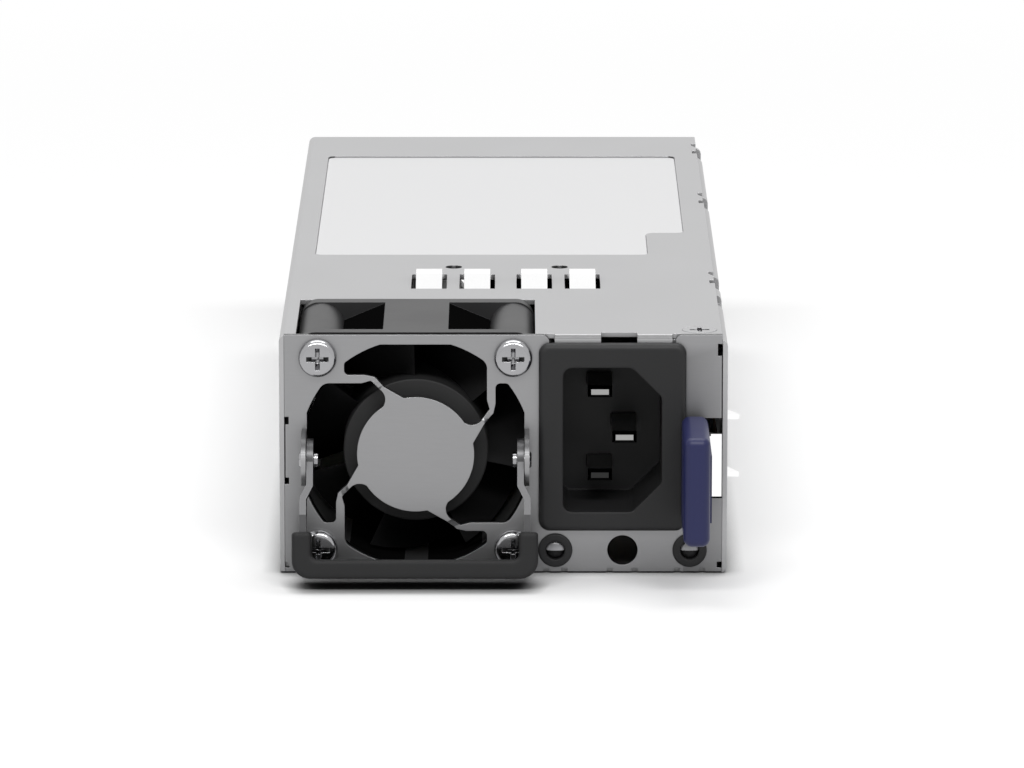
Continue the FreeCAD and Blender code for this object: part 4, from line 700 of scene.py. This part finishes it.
def in_grid(tree, given, geometry):
    """Nodes that set a geometry out in columns and rows, turn the grid and move it to its centre."""
    wide = arithmetic(tree, "MULTIPLY", given["Column Pitch"],
                      arithmetic(tree, "SUBTRACT", given["Columns"], 1.0))
    high = arithmetic(tree, "MULTIPLY", given["Row Pitch"], arithmetic(tree, "SUBTRACT", given["Rows"], 1.0))
    grid = add_node(tree, "GeometryNodeMeshGrid", Size_X=wide, Size_Y=high, Vertices_X=given["Columns"],
                    Vertices_Y=given["Rows"])
    placed = add_node(tree, "GeometryNodeInstanceOnPoints", Points=grid.outputs["Mesh"], Instance=geometry)
    turned = add_node(tree, "GeometryNodeTransform", Geometry=placed.outputs["Instances"],
                      Translation=given["Centre"], Rotation=given["Turn"])
    return add_node(tree, "GeometryNodeRealizeInstances", Geometry=turned.outputs["Geometry"])


mouth_lift = 0.00003  # stands the cutter above the head, so that no face lies on another


def recess_wing(tree, given, turn):
    """A tapered wing that points down from z = 0; its mouth is Recess Reach by Recess Half Width."""
    cone = add_node(tree, "GeometryNodeMeshCone", Vertices=4, Radius_Bottom=math.sqrt(2),
                    Radius_Top=0.5 * math.sqrt(2), Depth=given["Recess Depth"])
    square = add_node(tree, "GeometryNodeTransform", Geometry=cone.outputs["Mesh"],
                      Rotation=(math.pi, 0, math.pi / 4), Translation=(0, 0, mouth_lift))
    stretch = add_node(tree, "ShaderNodeCombineXYZ", X=given["Recess Reach"], Y=given["Recess Half Width"],
                       Z=1.0)
    long = add_node(tree, "GeometryNodeTransform", Geometry=square.outputs["Geometry"],
                    Scale=stretch.outputs["Vector"])
    return add_node(tree, "GeometryNodeTransform", Geometry=long.outputs["Geometry"],
                    Rotation=(0, 0, turn)).outputs["Geometry"]


blank = add_node(screw_tree, "GeometryNodeObjectInfo", Object=given["Screw"])
carve = add_node(screw_tree, "GeometryNodeMeshBoolean", operation="DIFFERENCE",
                 Mesh_1=blank.outputs["Geometry"])
for turn in (0.0, math.pi / 2):
    screw_tree.links.new(recess_wing(screw_tree, given, turn), carve.inputs["Mesh 2"])
where = screw_tree.nodes.new("GeometryNodeInputPosition")
parts_of = add_node(screw_tree, "ShaderNodeSeparateXYZ", Vector=where.outputs["Position"]).outputs
# Faces deep in the recess, at the ends of the level wing, are marked for painted shade.
below_mouth = -0.00012
end_share = 0.66
across = arithmetic(screw_tree, "SQRT", arithmetic(
    screw_tree, "ADD", arithmetic(screw_tree, "MULTIPLY", parts_of["X"], parts_of["X"]),
    arithmetic(screw_tree, "MULTIPLY", parts_of["Y"], parts_of["Y"])))
inside = arithmetic(screw_tree, "MULTIPLY",
                    arithmetic(screw_tree, "LESS_THAN", across, given["Recess Reach"]),
                    arithmetic(screw_tree, "LESS_THAN", parts_of["Z"], below_mouth))
side_end = arithmetic(screw_tree, "GREATER_THAN", arithmetic(screw_tree, "ABSOLUTE", parts_of["X"]),
                      arithmetic(screw_tree, "MULTIPLY", given["Recess Reach"], end_share))
sunk = arithmetic(screw_tree, "MULTIPLY", inside, side_end)
marked = add_node(screw_tree, "GeometryNodeStoreNamedAttribute", data_type="BOOLEAN", domain="FACE",
                  Geometry=carve.outputs["Mesh"], Name="recess", Value=sunk)
set_out = in_grid(screw_tree, given, marked.outputs["Geometry"])
in_steel = add_node(screw_tree, "GeometryNodeSetMaterial", Geometry=set_out.outputs["Geometry"],
                    Material=given["Steel"])
mark = add_node(screw_tree, "GeometryNodeInputNamedAttribute", data_type="BOOLEAN", Name="recess")
in_recess = add_node(screw_tree, "GeometryNodeSetMaterial", Geometry=in_steel.outputs["Geometry"],
                     Selection=mark.outputs["Attribute"], Material=given["Recess"])
screw_tree.links.new(in_recess.outputs["Geometry"], leave["Geometry"])
print("tree", screw_tree.name, "with", len(screw_tree.nodes), "nodes")

# %% Fan screws from the tree
facing_front = (math.pi / 2, 0.0, 0.0)
screw_low, screw_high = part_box("fan_screws")
screw_radius = 0.00315
screw_pitch = (screw_high[0] - screw_low[0]) - 2 * screw_radius
shank_radius = 0.0015
thread_pitch = 0.0005
thread_depth = 0.0002
head_high = 0.0016
head_flat = 0.0023
head_fall = 0.0011
crown = 0.00006
broken_edge = 0.0001
tip_radius = 0.0008
shank_end = -(screw_high[1] - screw_low[1])
head_outline = round_over(head_flat, -crown, screw_radius - head_flat, head_fall, 8)
thread = []
ridge = -head_high - thread_pitch
while ridge > shank_end + thread_pitch:
    thread += [(shank_radius, ridge), (shank_radius - thread_depth, ridge - thread_pitch / 2)]
    ridge -= thread_pitch
screw_profile = [(0, 0)] + head_outline + [
    (screw_radius, -head_high + broken_edge), (screw_radius - broken_edge, -head_high),
    (shank_radius - thread_depth, -head_high)] + thread + [(tip_radius, shank_end), (0, shank_end)]
blank_screw = revolved("blank_screw", screw_profile, 48)
# Painted shade: the nearly black finish for the marked faces of the recess.
painted_recess_shade = finish("painted_recess_shade", (0.02, 0.02, 0.02), 0.6, 0.0, depth=0.05, spread=0.05)
panel_screws = grow("panel_screws", screw_tree, {
    "Screw": blank_screw, "Column Pitch": screw_pitch, "Row Pitch": screw_pitch,
    "Centre": (fan_x, screw_low[1], middle(screw_low, screw_high)[2]), "Turn": facing_front,
    "Steel": finishes["screw_steel"], "Recess": painted_recess_shade})
bpy.data.objects.remove(blank_screw)
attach(panel_screws, "chassis")
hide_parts("fan_screws")

# %% [markdown]
# ## Light guides
# Two light guides stand in the panel's bezels. Each is half a dome with painted shading that is darker at
# its crown, over a black half dome that stands in for the dark lower half of a lens: a painted dark
# reflection. Guides and black halves are the same small shape, one turned over, set out by a grid, so they
# share one tree, which differs from the screws' tree in carving nothing.

# %% Tree for a grid of pieces
grid_tree, given, leave = new_geometry_tree("grid_of_pieces", [
    ("Piece", "Object", None), ("Columns", "Int", 2), ("Rows", "Int", 1), ("Column Pitch", "Float", 0.01),
    ("Row Pitch", "Float", 0.01), ("Centre", "Vector", (0, 0, 0)), ("Turn", "Vector", (0, 0, 0)),
    ("Finish", "Material", None)])
one = add_node(grid_tree, "GeometryNodeObjectInfo", Object=given["Piece"])
set_out = in_grid(grid_tree, given, one.outputs["Geometry"])
end_tree(grid_tree, given, leave, set_out.outputs["Geometry"])

# %% Light guides
lens_low, lens_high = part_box("indicator_lenses")
lens_x, _, lens_z = middle(lens_low, lens_high)
lens_radius = (lens_high[2] - lens_low[2]) / 2
lens_pitch = (lens_high[0] - lens_low[0]) - 2 * lens_radius
lens_deep = lens_high[1] - lens_low[1]


def half_dome(name, radius, deep, bulge, steps, rings):
    """The upper half of a rod along Z that ends in a shallow dome at z = 0, flat underneath."""
    shape = bmesh.new()
    rows = [(radius * math.sin(math.pi / 2 * k / rings), -bulge * (1 - math.cos(math.pi / 2 * k / rings)))
            for k in range(1, rings + 1)] + [(radius, -deep)]
    tip = shape.verts.new((0, 0, 0))
    end = shape.verts.new((0, 0, -deep))
    grid = [[shape.verts.new((r * math.cos(math.pi * k / steps), r * math.sin(math.pi * k / steps), z))
             for k in range(steps + 1)] for r, z in rows]
    for k in range(steps):
        shape.faces.new((tip, grid[0][k], grid[0][k + 1]))
        shape.faces.new((end, grid[-1][k + 1], grid[-1][k]))
        for low, high in zip(grid, grid[1:]):
            shape.faces.new((low[k], high[k], high[k + 1], low[k + 1]))
    shape.faces.new([tip] + [row[0] for row in grid] + [end] + [row[-1] for row in reversed(grid)])
    bmesh.ops.recalc_face_normals(shape, faces=shape.faces[:])
    return piece_from(shape, name)


def painted_shading_on_guides(tree):
    """Painted shading: a light guide is brighter at its flat underside than at its crown."""
    return between(tree, place_on(tree)["Z"], lens_z, lens_high[2], 1.25, 0.35)


guide_finish = finish("guide_finish", (0.27, 0.27, 0.28), 0.25, 0.0, 0.5, depth=0.03, spread=0.03,
                      shade=painted_shading_on_guides)
guide_shape = half_dome("guide_shape", lens_radius, lens_deep, bulge=0.0006, steps=24, rings=8)
light_guides = grow("light_guides", grid_tree, {
    "Piece": guide_shape, "Column Pitch": lens_pitch, "Centre": (lens_x, lens_low[1], lens_z),
    "Turn": facing_front, "Finish": guide_finish})
# The black half dome under each guide is a painted dark reflection.
seat_depth = 0.0005
turned_over = (math.pi / 2, math.pi, 0.0)
light_guide_seats = grow("light_guide_seats", grid_tree, {
    "Piece": guide_shape, "Column Pitch": lens_pitch, "Centre": (lens_x, lens_low[1] + seat_depth, lens_z),
    "Turn": turned_over, "Finish": finishes["black_plastic"]})
bpy.data.objects.remove(guide_shape)
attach(light_guide_seats, "chassis")
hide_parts("indicator_lenses")
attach(light_guides, "chassis")
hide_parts("indicator_lenses")

# %% [markdown]
# ## The fan's impeller
# Seven swept blades stand round a hub that is a cup with the motor inside. A blade is a thin sheet whose
# two sides follow a helix, thickest in the middle, and it covers a little more than its seventh of the
# circle, so that nothing behind shows between the blades. One blade is computed point by point, and the
# tree repeats it round the axis: the count is an input, so a five blade fan is one number away. The hub is
# revolved, with the rounded front edge that the panel's disc leaves in view.

# %% Tree for pieces round an axis
axis_tree, given, leave = new_geometry_tree("pieces_round_axis", [
    ("Piece", "Object", None), ("Count", "Int", 7), ("First Angle", "Float", 0.0),
    ("Centre", "Vector", (0, 0, 0)), ("Turn", "Vector", (0, 0, 0)), ("Finish", "Material", None)])
one = add_node(axis_tree, "GeometryNodeObjectInfo", Object=given["Piece"])
points = add_node(axis_tree, "GeometryNodeMeshLine", Count=given["Count"], Offset=(0, 0, 0))
number = axis_tree.nodes.new("GeometryNodeInputIndex")
step = arithmetic(axis_tree, "DIVIDE", 2 * math.pi, given["Count"])
angle = arithmetic(axis_tree, "ADD", arithmetic(axis_tree, "MULTIPLY", number.outputs["Index"], step),
                   given["First Angle"])
spin = add_node(axis_tree, "ShaderNodeCombineXYZ", Z=angle)
placed = add_node(axis_tree, "GeometryNodeInstanceOnPoints", Points=points.outputs["Mesh"],
                  Instance=one.outputs["Geometry"], Rotation=spin.outputs["Vector"])
moved = add_node(axis_tree, "GeometryNodeTransform", Geometry=placed.outputs["Instances"],
                 Translation=given["Centre"], Rotation=given["Turn"])
joined = add_node(axis_tree, "GeometryNodeRealizeInstances", Geometry=moved.outputs["Geometry"])
end_tree(axis_tree, given, leave, joined.outputs["Geometry"])

# %% Blades and hub
wheel_low, wheel_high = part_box("fan_impeller")
wheel_radius = (wheel_high[0] - wheel_low[0]) / 2
wheel_deep = wheel_high[1] - wheel_low[1]
hub_radius = 0.01192
hub_wall = 0.001
hub_plate = 0.0012
blades = 7
wheel_centre = (fan_x, wheel_low[1], fan_z)


def blade_sheet(name, root, tip, start, end, sweep, thick, along, across):
    """One blade about Z: its chord runs from start to end in z while it turns through sweep."""
    edge_share, fullness, camber, lean = 0.25, 0.6, 0.12, 0.3
    vertices = []
    for side in (1, -1):
        for j in range(across + 1):
            radius = root + (tip - root) * j / across
            for i in range(along + 1):
                part = i / along
                bulge = side * thick / 2 * (edge_share
                                            + (1 - edge_share) * math.sin(math.pi * part) ** fullness)
                curve = part + camber * math.sin(math.pi * part)
                turn = sweep * (curve - 0.5) + bulge / radius
                vertices.append((radius * math.cos(turn), radius * math.sin(turn),
                                 start + (end - start) * part - bulge * lean))
    width = along + 1
    half = width * (across + 1)
    faces = []
    for j in range(across):
        for i in range(along):
            a = j * width + i
            faces.append((a, a + 1, a + width + 1, a + width))
            faces.append((half + a + width, half + a + width + 1, half + a + 1, half + a))
    rim = ([j * width for j in range(across + 1)] + [across * width + i for i in range(1, width)]
           + [j * width + along for j in range(across - 1, -1, -1)] + list(range(along - 1, 0, -1)))
    for a, b in zip(rim, rim[1:] + rim[:1]):
        faces.append((a, b, half + b, half + a))
    return mesh_object(name, vertices, faces)


blade_overlap = 1.12
one_blade = blade_sheet("one_blade", root=hub_radius - 0.0004, tip=wheel_radius, start=-0.0026,
                        end=-(wheel_deep - 0.0006), sweep=2 * math.pi / blades * blade_overlap,
                        thick=0.0009, along=14, across=6)
fan_blades = grow("fan_blades", axis_tree, {"Piece": one_blade, "Count": blades, "First Angle": 0.3,
                                            "Centre": wheel_centre, "Turn": facing_front,
                                            "Finish": blade_plastic})
bpy.data.objects.remove(one_blade)
hub_round = 0.0003
boss_radius = 0.0024
boss_deep = 0.0042
hub_front = round_over(hub_radius - hub_round, 0.0, hub_round, hub_round, 4)
hub_inner = hub_radius - hub_wall
hub_profile = [(0, 0)] + hub_front + [
    (hub_radius, -wheel_deep), (hub_inner, -wheel_deep), (hub_inner, -hub_plate), (boss_radius, -hub_plate),
    (boss_radius, -boss_deep), (0, -boss_deep)]
fan_hub = revolved("fan_hub", hub_profile, 72)
fan_hub.data.transform(Matrix.Translation(wheel_centre) @ Matrix.Rotation(math.pi / 2, 4, "X"))
fan_hub.data.materials.append(hub_plastic)
smooth(fan_hub.data)
for piece in (fan_blades, fan_hub):
    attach(piece, "fan_rotor")
    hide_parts("fan_impeller")
print("impeller of", blades, "blades, radius", round(wheel_radius * 1000, 2), "mm")

# %% [markdown]
# ## The wound rings on the board
# The two chokes are rings of powdered iron with enamelled wire wound through the hole and round the
# outside. A turn of wire is a rounded rectangle that fits the ring's section, swept with a round profile,
# and the tree above sets the turns round the ring. They are hidden by the cover until it comes off, but a
# supply is opened sooner or later.

# %% Wire and ring
wire_tree, given, leave = new_geometry_tree("turn_of_wire", [
    ("Ring Radius", "Float", 0.009), ("Width", "Float", 0.006), ("Height", "Float", 0.014),
    ("Wire Radius", "Float", 0.0005), ("Finish", "Material", None)])
loop = add_node(wire_tree, "GeometryNodeCurvePrimitiveQuadrilateral", Width=given["Width"],
                Height=given["Height"])
soft = add_node(wire_tree, "GeometryNodeFilletCurve", mode="POLY", Curve=loop.outputs["Curve"], Count=3,
                Radius=arithmetic(wire_tree, "MULTIPLY", given["Wire Radius"], 2.0))
outline = add_node(wire_tree, "GeometryNodeCurvePrimitiveCircle", Resolution=8,
                   Radius=given["Wire Radius"])
swept = add_node(wire_tree, "GeometryNodeCurveToMesh", Curve=soft.outputs["Curve"],
                 Profile_Curve=outline.outputs["Curve"])
out_to = add_node(wire_tree, "ShaderNodeCombineXYZ", X=given["Ring Radius"])
stood = add_node(wire_tree, "GeometryNodeTransform", Geometry=swept.outputs["Mesh"],
                 Rotation=(math.pi / 2, 0, 0), Translation=out_to.outputs["Vector"])
joined = add_node(wire_tree, "GeometryNodeRealizeInstances", Geometry=stood.outputs["Geometry"])
end_tree(wire_tree, given, leave, joined.outputs["Geometry"])


def wound_ring(name, node, inner, wire, turns):
    """A wound ring that fills a CAD node's box, its hole of radius inner open."""
    low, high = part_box(node)
    outer = (high[0] - low[0]) / 2
    tall = high[2] - low[2]
    core_out, core_in, core_tall = outer - 2 * wire, inner + 2 * wire, tall - 4 * wire
    turn = grow("wire_turn", wire_tree, {
        "Ring Radius": (core_out + core_in) / 2, "Width": core_out - core_in + 2 * wire,
        "Height": core_tall + 2 * wire, "Wire Radius": wire, "Finish": finishes["copper"]})
    centre = middle(low, high)
    winding = grow(name + "_winding", axis_tree, {"Piece": turn, "Count": turns, "Centre": centre,
                                                  "Finish": finishes["copper"]})
    bpy.data.objects.remove(turn)
    edge = 0.0004
    half = core_tall / 2
    section = [(core_in + edge, -half), (core_out - edge, -half), (core_out, edge - half),
               (core_out, half - edge), (core_out - edge, half), (core_in + edge, half),
               (core_in, half - edge), (core_in, edge - half)]
    core = revolved(name + "_core", section, 48, closed=True)
    core.data.transform(Matrix.Translation(centre))
    core.data.materials.append(finishes["ferrite"])
    for piece in (winding, core):
        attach(piece, "chassis")
        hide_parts(node)


wound_ring("pfc_ring", "pfc_choke", inner=0.00546, wire=0.00055, turns=30)
wound_ring("filter_ring", "common_mode_choke", inner=0.00497, wire=0.00045, turns=30)
print("two wound rings stand on the board")
